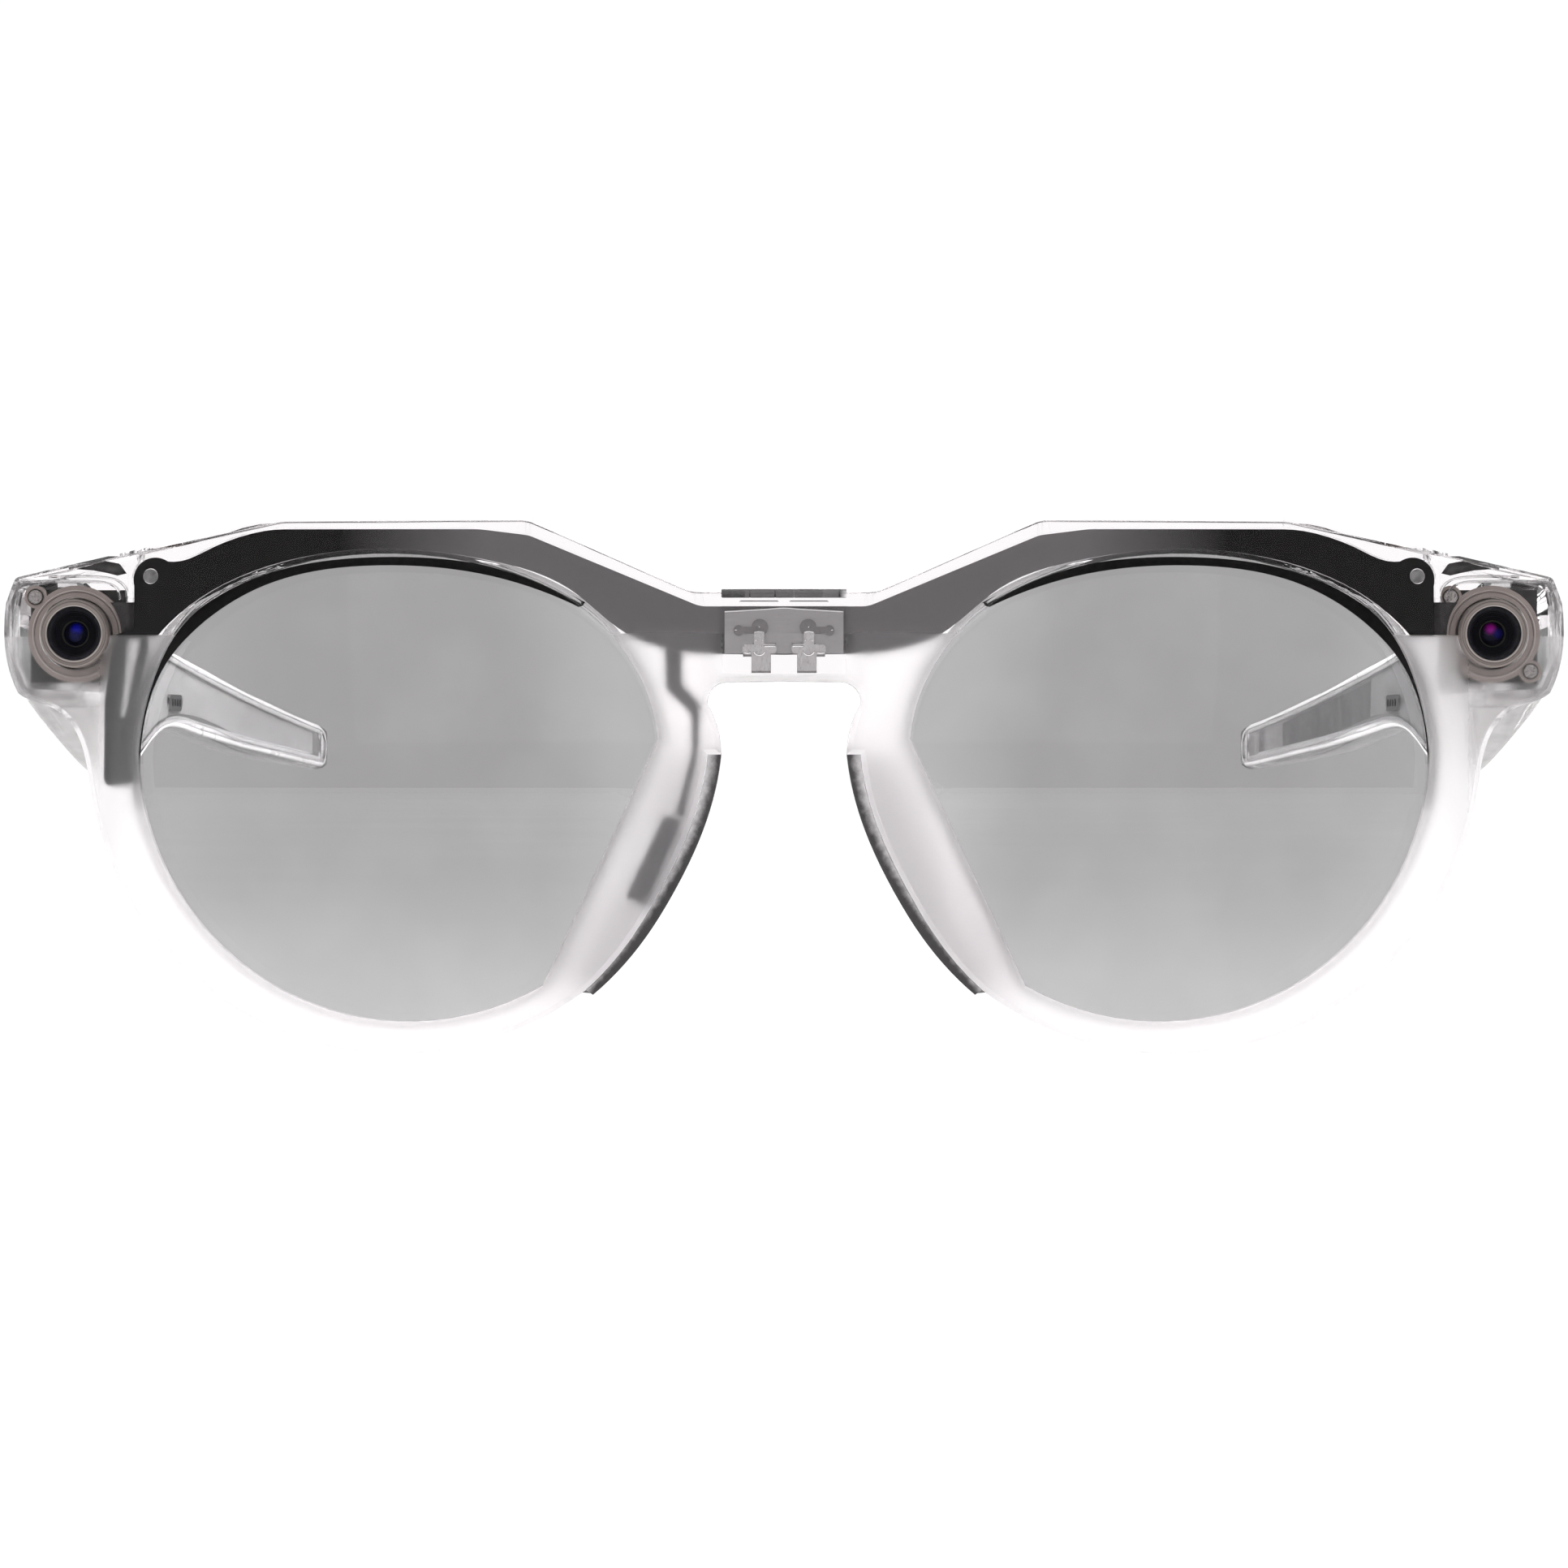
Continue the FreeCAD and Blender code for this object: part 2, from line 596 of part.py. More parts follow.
# ---------------------------------------------------------------- cameras
def make_camera(side):
    """Camera at x = side * CAM_X: flange with two ears, barrel ring, window, lens and sensor block."""
    name = "left_" if side > 0 else "right_"
    x = side * CAM_X
    ears = [(x + dx, CAM_Z + dz) for dx, dz in camera_ears()]
    flange = fused([disc(x, CAM_Z, 4.7, FLANGE_Y, FLANGE_Y + 1.0)]
                   + [disc(ex, ez, 1.1, FLANGE_Y, FLANGE_Y + 1.0) for ex, ez in ears])
    flange = flange.cut(disc(x, CAM_Z, 3.3, 0, 30))
    for ex, ez in ears:
        flange = flange.cut(disc(ex, ez, 0.42, 0, 30))
    keep(name + "camera_mount", flange)

    barrel = disc(x, CAM_Z, 3.3, CAM_FRONT, FLANGE_Y + 1.0).cut(disc(x, CAM_Z, 2.7, 0, 30))
    rim = [e for e in barrel.Edges if abs(e.BoundBox.YMax - CAM_FRONT) < 1e-4]
    keep(name + "camera_barrel", rounded(barrel, rim, 0.25))

    window_y = CAM_FRONT + 0.35
    keep(name + "camera_window", disc(x, CAM_Z, 2.68, window_y, window_y + 0.4))
    block = box(x - 4.55, x + 4.55, FLANGE_Y + 1.05, POD_FLOOR - 0.05, CAM_Z - 4.7, CAM_Z + 4.3)
    tube = disc(x, CAM_Z, 2.66, window_y + 0.42, FLANGE_Y + 1.1)
    cone = Part.makeCone(2.3, 1.2, 1.6, V(x, window_y + 0.42, CAM_Z), V(0, 1, 0))
    seat = disc(x, CAM_Z, 1.2, window_y + 1.9, window_y + 3.0)
    keep(name + "camera_module", fused([block, tube]).cut(cone).cut(seat))
    dome = Part.makeSphere(1.6, V(x, window_y + 1.3 + 1.6, CAM_Z)).common(
        disc(x, CAM_Z, 1.18, window_y + 1.2, window_y + 2.98)
    )
    keep(name + "camera_lens", dome)
    link = box(63.15, 63.8, FLANGE_Y + 1.1, POD_FLOOR - 0.1, 14.4, 18.1)
    keep(name + "camera_connector", link if side > 0 else mirrored(link))
    return [screw(V(ex, FLANGE_Y - 0.3, ez), V(0, 1, 0), 0.65, 0.38, 0.3, 1.0) for ex, ez in ears]


def screw(head, axis, head_r, shank_r, head_t, shank_length):
    """Small countersunk-style screw: a rounded head with a cross recess, and a plain shank."""
    cap = Part.makeCylinder(head_r, head_t, head, axis)
    shank = Part.makeCylinder(shank_r, shank_length, head + axis * head_t, axis)
    body = cap.fuse(shank)
    side = axis.cross(V(0, 0, 1) if abs(axis.z) < 0.9 else V(1, 0, 0)).normalize()
    up = axis.cross(side).normalize()
    for a, b in ((side, up), (up, side)):
        slot_points = [head + a * (s * head_r * 0.6) + b * (t * head_r * 0.14)
                       for s, t in ((-1, -1), (1, -1), (1, 1), (-1, 1), (-1, -1))]
        slot = Part.Face(Part.makePolygon(slot_points)).extrude(axis * (head_t * 0.55))
        body = body.cut(slot)
    return body


# ---------------------------------------------------------------- hinges
def knuckles(numbers, play=0.0):
    """Barrel knuckles of the right hinge, numbered from the bottom."""
    pieces = []
    for n in numbers:
        z = HINGE_Z + n * KNUCKLE + play
        pieces.append(Part.makeCylinder(BARREL_R, KNUCKLE - 2 * play, V(-HINGE_X, HINGE_Y, z), V(0, 0, 1)))
    return pieces


def pin_hole(radius):
    return Part.makeCylinder(radius, 30, V(-HINGE_X, HINGE_Y, 0), V(0, 0, 1))


def make_hinge():
    """Right hinge: leaf in the pod with three knuckles, leaf on the temple with two, and a pin."""
    top = HINGE_Z + 5 * KNUCKLE
    plate = box(-68.2, -63.1, 14.95, 15.75, HINGE_Z - 0.1, top + 0.1)
    necks = [box(-66.0, -64.5, 15.6, HINGE_Y, HINGE_Z + n * KNUCKLE, HINGE_Z + (n + 1) * KNUCKLE)
             for n in (0, 2, 4)]
    front_leaf = fused([plate] + necks + knuckles((0, 2, 4)))
    front_leaf = front_leaf.cut(pin_hole(PIN_R))
    for x, z in leaf_screw_spots():
        front_leaf = front_leaf.cut(disc(x, z, 0.42, 10, 20))
    both_sides("hinge_front_leaf", front_leaf)
    front_screws = [screw(V(x, 15.95, z), V(0, -1, 0), 0.7, 0.4, 0.2, 1.4) for x, z in leaf_screw_spots()]

    leaf = temple_leaf_plate()
    arms = [box(-HINGE_X - 1.5, -HINGE_X - 0.6, HINGE_Y, HINGE_Y + 3.0,
                HINGE_Z + n * KNUCKLE + 0.04, HINGE_Z + (n + 1) * KNUCKLE - 0.04) for n in (1, 3)]
    temple_leaf = fused([leaf] + arms + knuckles((1, 3), 0.04)).cut(pin_hole(PIN_R + 0.05))
    spots = [(22.8, HINGE_Z + 2.2), (26.4, HINGE_Z + 4.2), (22.8, HINGE_Z + 6.2)]
    inner = -HINGE_X - 0.6
    for y, z in spots:
        bore = Part.makeCylinder(0.5, 4, V(inner - 3, y, z), V(1, 0, 0))
        temple_leaf = temple_leaf.cut(bore)
    both_sides("hinge_temple_leaf", temple_leaf)
    screws = [screw(V(inner + 0.15, y, z), V(-1, 0, 0), 0.8, 0.48, 0.15, 0.8) for y, z in spots]
    both_sides("temple_leaf_screws", Part.makeCompound(screws))

    pin = Part.makeCylinder(PIN_R, 5 * KNUCKLE - 0.2, V(-HINGE_X, HINGE_Y, HINGE_Z + 0.1), V(0, 0, 1))
    head = Part.makeCylinder(1.1, 0.3, V(-HINGE_X, HINGE_Y, top), V(0, 0, 1))
    slot = box(-HINGE_X - 1.2, -HINGE_X + 1.2, HINGE_Y - 0.15, HINGE_Y + 0.15, top + 0.12, top + 1)
    both_sides("hinge_screw", fused([pin, Part.makeCylinder(PIN_R, 0.2, V(-HINGE_X, HINGE_Y, top - 0.1),
                                                            V(0, 0, 1)), head]).cut(slot))
    return front_screws


def temple_leaf_plate():
    return box(-HINGE_X - 1.55, -HINGE_X - 0.6, 19.6, 28.2, HINGE_Z + 0.3, HINGE_Z + 5 * KNUCKLE - 0.3)


# ---------------------------------------------------------------- temples
def line_at(table, y):
    """Value of a dimension line at y, straight between its stations."""
    for (y0, v0), (y1, v1) in zip(table, table[1:]):
        if y <= y1:
            return v0 + (v1 - v0) * (y - y0) / (y1 - y0)
    return table[-1][1]


def between(y0, y1):
    return box(-95, -40, y0, y1, -10, 40)


def side_prism(low, high):
    """Side outline of the whole temple, moved in from its bottom and top lines."""
    top = [V(-90, y, z - high) for y, z in TOP_Z]
    bottom = [V(-90, y, z + low) for y, z in BOTTOM_Z]
    edges = [
        spline_through(top),
        spline_through(bottom),
        Part.makeLine(bottom[0], top[0]),
        Part.makeLine(bottom[-1], top[-1]),
    ]
    return face_of(edges).extrude(V(60, 0, 0))


def inner_line(distance, z):
    """The temple's inner face in plan, moved outwards."""
    return [V(-x - distance, y, z) for y, x in INNER_X]


def outer_line(distance, z):
    """The temple's outer face in plan, moved inwards."""
    return [V(-x - t + distance, y, z) for (y, x), (_, t) in zip(INNER_X, TEMPLE_T)]


def plan_prism(near, far, z0=-5.0, z1=30.0):
    """Prism between two plan lines, from z0 to z1."""
    edges = [
        spline_through(near(z0)),
        spline_through(far(z0)),
        Part.makeLine(near(z0)[0], far(z0)[0]),
        Part.makeLine(near(z0)[-1], far(z0)[-1]),
    ]
    return face_of(edges).extrude(V(0, 0, z1 - z0))


def from_inner(distance):
    return lambda z: inner_line(distance, z)


def from_outer(distance):
    return lambda z: outer_line(distance, z)


def temple_part(y0, y1, low, high, inner, outer):
    """Piece of the temple between two stations: low and high are measured in from its bottom and top,
    inner and outer are distances from its inner face."""
    return temple_layer(y0, y1, low, high, from_inner(inner), from_inner(outer))


def temple_layer(y0, y1, low, high, near, far):
    return side_prism(low, high).common(plan_prism(near, far)).common(between(y0, y1))


def under_slope(distance):
    """Room outside the sloped lower face of the bulge, with the face moved inwards by distance."""
    along = V(SLOPE_FOOT[0] - SLOPE_TOP[0], 0, SLOPE_FOOT[1] - SLOPE_TOP[1]).normalize()
    inward = V(-along.z, 0, along.x)
    start = V(SLOPE_TOP[0], 10, SLOPE_TOP[1]) + inward * distance - along * 10
    end = V(SLOPE_FOOT[0], 10, SLOPE_FOOT[1]) + inward * distance + along * 10
    corners = [start, end, end - inward * 30, start - inward * 30, start]
    return Part.Face(Part.makePolygon(corners)).extrude(V(0, 66, 0))


def temple_blank():
    """Outer form of a temple, with rounded long edges and an end that is round from the side and in plan."""
    blank = side_prism(0, 0).common(plan_prism(from_inner(0), from_outer(0)))
    blank = rounded(blank, [e for e in blank.Edges if e.BoundBox.YLength > 25], TEMPLE_ROUND)
    blank = blank.cut(under_slope(0))
    top, bottom = line_at(TOP_Z, TEMPLE_END), line_at(BOTTOM_Z, TEMPLE_END)
    r = (top - bottom) / 2
    side_end = Part.makeCylinder(r + 0.03, 60, V(-95, TEMPLE_END - r, (top + bottom) / 2), V(1, 0, 0))
    blank = blank.common(fused([between(0, TEMPLE_END - r), side_end]))
    r = line_at(TEMPLE_T, TEMPLE_END) / 2 + 0.15
    middle = -line_at(INNER_X, TEMPLE_END) - line_at(TEMPLE_T, TEMPLE_END) / 2
    plan_end = Part.makeCylinder(r, 60, V(middle - 0.1, TEMPLE_END - r, -20), V(0, 0, 1))
    return blank.common(fused([between(0, TEMPLE_END - r), plan_end]))


def make_temple_shell():
    shell = temple_blank()
    cavity = temple_layer(COVER_START + 1.5, COVER_END - 3, WALL, WALL, from_inner(-5), from_outer(WALL))
    cavity = cavity.cut(under_slope(WALL))
    recess = temple_part(COVER_START, COVER_END, 0.8, 0.8, -5, COVER_T + 0.05)
    leaf_seat = box(-HINGE_X - 1.6, -HINGE_X + 5, 19.4, 28.4, HINGE_Z, HINGE_Z + 5 * KNUCKLE)
    return shell.cut(cavity).cut(recess).cut(leaf_seat)


def temple_cover():
    return temple_part(COVER_START + 0.05, COVER_END - 0.05, 0.85, 0.85, 0, COVER_T)


def speaker():
    """Speaker capsule in the bulge of the temple."""
    return temple_part(32.0, 44.0, 1.7, 2.0, COVER_T + 0.3, 4.5).common(below(9.2)).cut(under_slope(WALL + 0.3))


def below(z):
    return box(-95, -40, 0, 160, -10, z)


def vent_plate():
    """Stadium-shaped sound outlet let into the cover, just behind the bulge."""
    return stadium_x(59.0, 65.6, 8.6, 1.7)


def stadium_x(y0, y1, z, height):
    """Flat stadium that runs along y, through the inner face of the right temple."""
    r = height / 2
    pieces = [Part.makeBox(12, y1 - y0 - height, height, V(-72, y0 + r, z - r))]
    for y in (y0 + r, y1 - r):
        pieces.append(Part.makeCylinder(r, 12, V(-72, y, z), V(1, 0, 0)))
    return fused(pieces)


def main_board(chips):
    """Circuit board along the outer wall, clear of the speaker, with chips given as (y, length, top z)."""
    board = temple_part(31.0, 74.0, 1.9, 2.2, 3.1, 3.7).cut(box(-80, -60, 30, 44.6, 0, 9.6))
    chip_layers = [
        temple_part(y0, y0 + length, 2.0, 2.1, 2.4, 3.2).common(below(top)) for y0, length, top in chips
    ]
    return fused([board] + chip_layers)


def battery():
    return temple_part(77.0, 127.0, 1.55, 1.55, COVER_T + 0.3, 2.6)


def make_temples():
    shell = make_temple_shell()
    cover = temple_cover()
    vent = vent_plate()
    vent_layer = temple_part(50.0, 75.0, 0.85, 0.85, -0.12, COVER_T)
    plate = vent.common(vent_layer)
    for n in range(4):
        slot = stadium_x(60.0 + n * 1.3, 61.0 + n * 1.3, 8.6, 0.8)
        plate = plate.cut(slot)
    cover = cover.cut(vent)
    both_sides("speaker", speaker())
    both_sides("speaker_vent", plate)
    both_sides("battery", battery())

    # wearer's right: capture button, touch strip and a full-length light panel under the cover
    keep("right_temple_shell", shell.cut(capture_button_prism(GAP, 30)))
    keep("right_temple_cover", cover)
    board = main_board([(50.5, 8.5, 12.4), (62.0, 6.0, 11.4)])
    keep("right_main_board", board.cut(box(-80, -60, 36.4, 49.6, 11.1, 25)))
    keep("right_inner_panel", temple_part(31.5, 141.0, 1.5, 1.5, COVER_T + 0.05, COVER_T + 0.25))
    strip = temple_layer(76.0, 128.0, 2.0, 2.0, from_outer(WALL + 0.2), from_outer(WALL + 0.04))
    keep("right_touch_strip", strip)
    make_button()

    # wearer's left: power switch and a short panel
    keep("left_temple_shell", mirrored(shell))
    slot = box(-70, -60, 34.2, 34.2 + 3.6 + SWITCH_TRAVEL + 2 * GAP, 11.0 - GAP, 12.8 + GAP)
    keep("left_temple_cover", mirrored(cover.cut(slot)))
    keep("left_main_board", mirrored(main_board([(47.0, 9.0, 10.6), (60.0, 10.0, 11.4)])))
    keep("left_inner_panel", mirrored(temple_part(41.5, 75.5, 1.5, 1.5, COVER_T + 0.05, COVER_T + 0.25)))
    make_power_switch()


BUTTON_Y = (37.4, 48.6)
BUTTON_X = (1.85, 4.1)    # distances of the button's two sides from the temple's inner face
BUTTON_FOOT = 12.95       # z of the bottom of the button
BUTTON_FLANGE = 0.3


def capture_button_prism(grow, z1):
    """Plug through the top of the right temple, with round ends."""
    plan = plan_prism(from_inner(BUTTON_X[0] - grow), from_inner(BUTTON_X[1] + grow), BUTTON_FOOT, z1)
    plug = plan.common(between(BUTTON_Y[0] - grow, BUTTON_Y[1] + grow))
    upright = [e for e in plug.Edges if e.BoundBox.ZLength > 5]
    return rounded(plug, upright, 1.0 + grow)


def make_button():
    """Capture button, which slides down on to its switch."""
    plug = capture_button_prism(0, 30).common(side_prism(0, -0.45))
    rim = [e for e in plug.Edges if e.BoundBox.ZMin > 15.5 and e.BoundBox.ZLength < 2.0]
    plug = rounded(plug, rim, 0.2)
    inside = side_prism(0, WALL + 0.03).cut(side_prism(-9, WALL + 0.7))
    flange = capture_button_prism(BUTTON_FLANGE, 30).common(inside)
    keep("capture_button", fused([plug, flange]))
    middle = -line_at(INNER_X, 43) - (BUTTON_X[0] + BUTTON_X[1]) / 2
    top = BUTTON_FOOT - BUTTON_TRAVEL - 0.02
    keep("button_switch", box(middle - 1.0, middle + 1.0, 41.0, 45.0, 11.2, top))


def make_power_switch():
    """Slide switch through the inner cover of the left temple."""
    y0 = 34.2 + GAP
    x_in = line_at(INNER_X, 36)
    knob = box(x_in - 0.55, x_in + COVER_T, y0, y0 + 3.6, 11.0, 12.8)
    for n in range(3):
        knob = knob.cut(box(x_in - 1, x_in - 0.4, y0 + 0.8 + n * 0.85, y0 + 1.1 + n * 0.85, 10, 13))
    foot = box(x_in + 1.2, x_in + 1.6, y0 - 0.6, y0 + 4.2, 10.4, 13.4)
    neck = box(x_in + 0.9, x_in + 1.3, y0 + 0.1, y0 + 3.5, 11.1, 12.7)
    keep("power_switch", fused([knob, foot, neck]))
    end = y0 + 4.4 + SWITCH_TRAVEL
    keep("power_switch_contacts", box(x_in + 1.65, x_in + 2.2, y0 - 0.8, end, 10.2, 13.6))


# ---------------------------------------------------------------- assembly
def main():
    keep("front_shell", make_front_shell())
    keep("rear_cover", fused([make_rear_cover(), pressure_rib()]))
    make_lenses()
    both_sides("nose_pad", nose_pad())
    make_brow()
    make_bridge()
    camera_screws = make_camera(-1) + make_camera(1)
    keep("camera_screws", Part.makeCompound(camera_screws))
    front_screws = make_hinge()
    keep("hinge_front_screws", Part.makeCompound(front_screws + [mirrored(s) for s in front_screws]))
    make_temples()

    lowest = made["front_shell"].optimalBoundingBox(False, False).ZMin
    print("lowest point of the rims", round(lowest, 4))
    to_row = V(0, -TEMPLE_END / 2, -lowest)
    os.makedirs("parts", exist_ok=True)
    for name, shape in sorted(made.items()):
        moved = shape.translated(to_row)
        solids = moved.Solids
        ok = all(s.isValid() and s.Volume > 0 for s in solids)
        print(f"{name:26s} solids {len(solids)} volume {moved.Volume:9.2f} valid {ok}")
        Part.makeCompound(solids).exportStep(f"parts/{name}.step")


main()
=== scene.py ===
import math

import bmesh
import bpy
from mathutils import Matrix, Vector


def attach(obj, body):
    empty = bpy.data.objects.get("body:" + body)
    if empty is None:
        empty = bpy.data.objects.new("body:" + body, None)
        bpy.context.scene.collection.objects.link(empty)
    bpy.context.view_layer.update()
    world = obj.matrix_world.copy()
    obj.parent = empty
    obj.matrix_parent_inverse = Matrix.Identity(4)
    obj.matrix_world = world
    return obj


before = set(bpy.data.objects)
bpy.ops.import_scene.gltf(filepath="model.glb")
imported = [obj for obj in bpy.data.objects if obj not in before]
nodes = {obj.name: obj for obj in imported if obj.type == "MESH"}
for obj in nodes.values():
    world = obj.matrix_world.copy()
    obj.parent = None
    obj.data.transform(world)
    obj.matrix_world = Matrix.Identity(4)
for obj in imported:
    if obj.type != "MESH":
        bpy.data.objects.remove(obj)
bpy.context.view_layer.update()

scene = bpy.context.scene
MM = 0.001

# Sides are the wearer's: right is at minus x. Finishes work in metres, from the frame's origin.
SIDES = ((-1, "right_"), (1, "left_"))
CLEAR_LINE = 0.04007          # above this height the front plastic is polished, below it is frosted
LINE_BLUR = 0.00008
CAMERA_X, CAMERA_Z = 0.0684, 0.04027


# ---------------------------------------------------------------- finishes
class Finish:
    """One material: a Principled shader and the nodes that drive it, in the object's own metres."""

    def __init__(self, name, colour, roughness, **sockets):
        self.mat = bpy.data.materials.new(name)
        self.mat.use_nodes = True
        self.tree = self.mat.node_tree
        self.shader = self.tree.nodes["Principled BSDF"]
        self.set("Base Color", (*colour, 1.0))
        self.set("Roughness", roughness)
        for key, value in sockets.items():
            self.set(key.replace("_", " "), value)
        self.coords = self.tree.nodes.new("ShaderNodeTexCoord").outputs["Object"]
        self.bump_out = None

    def set(self, socket, value):
        self.shader.inputs[socket].default_value = value

    def link(self, out, socket):
        self.tree.links.new(out, self.shader.inputs[socket])

    def node(self, kind, inputs=(), **attributes):
        """New node: inputs maps a socket to a value, or to the output that drives it."""
        made = self.tree.nodes.new(kind)
        for key, value in attributes.items():
            setattr(made, key, value)
        for key, value in dict(inputs).items():
            if hasattr(value, "is_linked"):
                self.tree.links.new(value, made.inputs[key])
            else:
                made.inputs[key].default_value = value
        return made

    def math(self, operation, a, b=0.0, c=0.0):
        return self.node("ShaderNodeMath", {0: a, 1: b, 2: c}, operation=operation).outputs[0]

    def axis(self, name):
        return self.node("ShaderNodeSeparateXYZ", {0: self.coords}).outputs[name]

    def distance(self, across, up, centre_across, centre_up):
        """Distance in the front plane from a centre."""
        dx = self.math("SUBTRACT", across, centre_across)
        dz = self.math("SUBTRACT", up, centre_up)
        squares = self.math("ADD", self.math("MULTIPLY", dx, dx), self.math("MULTIPLY", dz, dz))
        return self.math("SQRT", squares)

    def below_line(self):
        """One below the edge of the frosted zone, zero above it."""
        return self.span(self.axis("Z"), CLEAR_LINE - LINE_BLUR, CLEAR_LINE + LINE_BLUR, 1.0, 0.0)

    def span(self, value, low, high, to_low=0.0, to_high=1.0, smooth=False):
        kind = "SMOOTHSTEP" if smooth else "LINEAR"
        made = self.node("ShaderNodeMapRange", {0: value, 1: low, 2: high, 3: to_low, 4: to_high},
                         interpolation_type=kind)
        made.clamp = True
        return made.outputs[0]

    def stretched(self, factors):
        return self.node("ShaderNodeVectorMath", {0: self.coords, 1: factors},
                         operation="MULTIPLY").outputs[0]

    def noise(self, size, detail=3.0, roughness=0.5, vector=None):
        """Grain of about the given size in millimetres."""
        source = self.coords if vector is None else vector
        made = self.node("ShaderNodeTexNoise", {"Vector": source, "Scale": 1000.0 / size,
                                                "Detail": detail, "Roughness": roughness})
        return made.outputs["Fac"]

    def mix(self, factor, a, b):
        """Blend of two colours; sockets 0, 6 and 7 are the factor, A and B of a colour mix."""
        made = self.node("ShaderNodeMix", data_type="RGBA")
        for key, value in ((0, factor), (6, a), (7, b)):
            if hasattr(value, "is_linked"):
                self.tree.links.new(value, made.inputs[key])
            else:
                made.inputs[key].default_value = value if key == 0 else (*value, 1.0)
        return made.outputs[2]

    def colour_grain(self, a, b, size, detail=3.0, low=0.35, high=0.65):
        factor = self.span(self.noise(size, detail), low, high)
        self.link(self.mix(factor, a, b), "Base Color")

    def rough_grain(self, low, high, size, detail=3.0):
        self.link(self.span(self.noise(size, detail), 0.3, 0.7, low, high), "Roughness")

    def bump(self, height, distance, strength=0.5):
        inputs = {"Strength": strength, "Distance": distance * MM, "Height": height}
        if self.bump_out is not None:
            inputs["Normal"] = self.bump_out
        self.bump_out = self.node("ShaderNodeBump", inputs).outputs[0]
        self.link(self.bump_out, "Normal")


def dress(finish, *names):
    """Put the finish in every material slot of the CAD nodes."""
    for name in names:
        mesh = nodes[name].data
        for i in range(len(mesh.materials)):
            mesh.materials[i] = finish.mat


def both(tail):
    return "right_" + tail, "left_" + tail


def moulded_clear():
    """The front: polished crystal above the line, frosted below it but for the bridge and pods."""
    f = Finish("front_crystal", (0.985, 0.978, 0.98), 0.02, IOR=1.49)
    z = f.axis("Z")
    f.set("Specular Tint", (0.15, 0.15, 0.15, 1.0))
    below = f.below_line()
    polish = f.span(f.noise(9.0, 2.0), 0.35, 0.65, 0.012, 0.03)
    across = f.math("ABSOLUTE", f.axis("X"))
    frosted, bridge, pod = 0.85, 0.10, 0.20
    window = f.math("MAXIMUM", f.span(across, 0.0052, 0.0075, bridge, frosted, smooth=True),
                    f.span(z, 0.0358, 0.0364, frosted, bridge, smooth=True))
    beside = f.span(across, 0.0640, 0.0664, frosted, pod, smooth=True)
    coarse = f.math("MINIMUM", beside, window)
    frost = f.math("ADD", coarse, f.span(f.noise(0.35, 4.0), 0.3, 0.7, -0.03, 0.03))
    rough = f.node("ShaderNodeMix", {0: below, 2: polish, 3: frost}, data_type="FLOAT").outputs[0]
    f.link(rough, "Roughness")
    f.link(f.span(below, 0.0, 1.0, 1.0, 0.985), "Transmission Weight")
    cloud = f.span(f.noise(14.0, 2.0), 0.3, 0.7)
    f.link(f.mix(cloud, (0.99, 0.975, 0.98), (0.985, 0.975, 0.98)), "Base Color")
    f.bump(f.noise(11.0, 1.0), 0.02, 0.25)
    return f


def facet_mask(f):
    """One on the sloped face and the underside of the temple's bulge, under the pod."""
    foot_x, foot_z, run_over_rise = 0.0702, 0.026972, 0.5946
    across, y, z = f.math("ABSOLUTE", f.axis("X")), f.axis("Y"), f.axis("Z")
    slope = f.math("MULTIPLY", f.math("SUBTRACT", z, foot_z), run_over_rise)
    outside = f.math("SUBTRACT", f.math("SUBTRACT", across, foot_x), slope)
    sloped = f.span(outside, -0.0004, -0.0001, 0.0, 1.0, smooth=True)
    # the underside follows three straight lines, each a height that changes with y
    lines = [f.math("MULTIPLY_ADD", y, rise, start)
             for rise, start in ((-0.5488, 0.002935), (-0.300, 0.014965), (0.100, 0.031105))]
    floor_line = f.math("MAXIMUM", lines[0], f.math("MAXIMUM", lines[1], lines[2]))
    under = f.span(f.math("SUBTRACT", z, floor_line), 0.00035, 0.0006, 1.0, 0.0, smooth=True)
    low = f.span(z, 0.0344, 0.0350, 1.0, 0.0, smooth=True)
    in_front = f.span(y, -0.024, -0.018, 1.0, 0.0, smooth=True)
    return f.math("MULTIPLY", f.math("MULTIPLY", f.math("MAXIMUM", sloped, under), low), in_front)


def crystal(name, tint_a, tint_b, low=0.015, high=0.045, facet=False):
    """Clear temple plastic; with facet, the faces under the pod are frosted light grey."""
    f = Finish(name, tint_a, low, IOR=1.49)
    f.set("Transmission Weight", 1.0)
    if facet:
        near = facet_mask(f)
        cloud = f.span(f.noise(1.6, 3.0), 0.3, 0.7)
        haze = f.mix(cloud, (0.56, 0.545, 0.545), (0.70, 0.685, 0.685))
        f.link(f.mix(near, tint_a, haze), "Base Color")
        clear = f.math("SUBTRACT", 1.0, f.math("MULTIPLY", near, 0.72))
        f.link(clear, "Transmission Weight")
    else:
        f.colour_grain(tint_a, tint_b, 12.0, 2.0)
    f.rough_grain(low, high, 6.0, 2.0)
    f.bump(f.noise(10.0, 1.0), 0.02, 0.2)
    return f


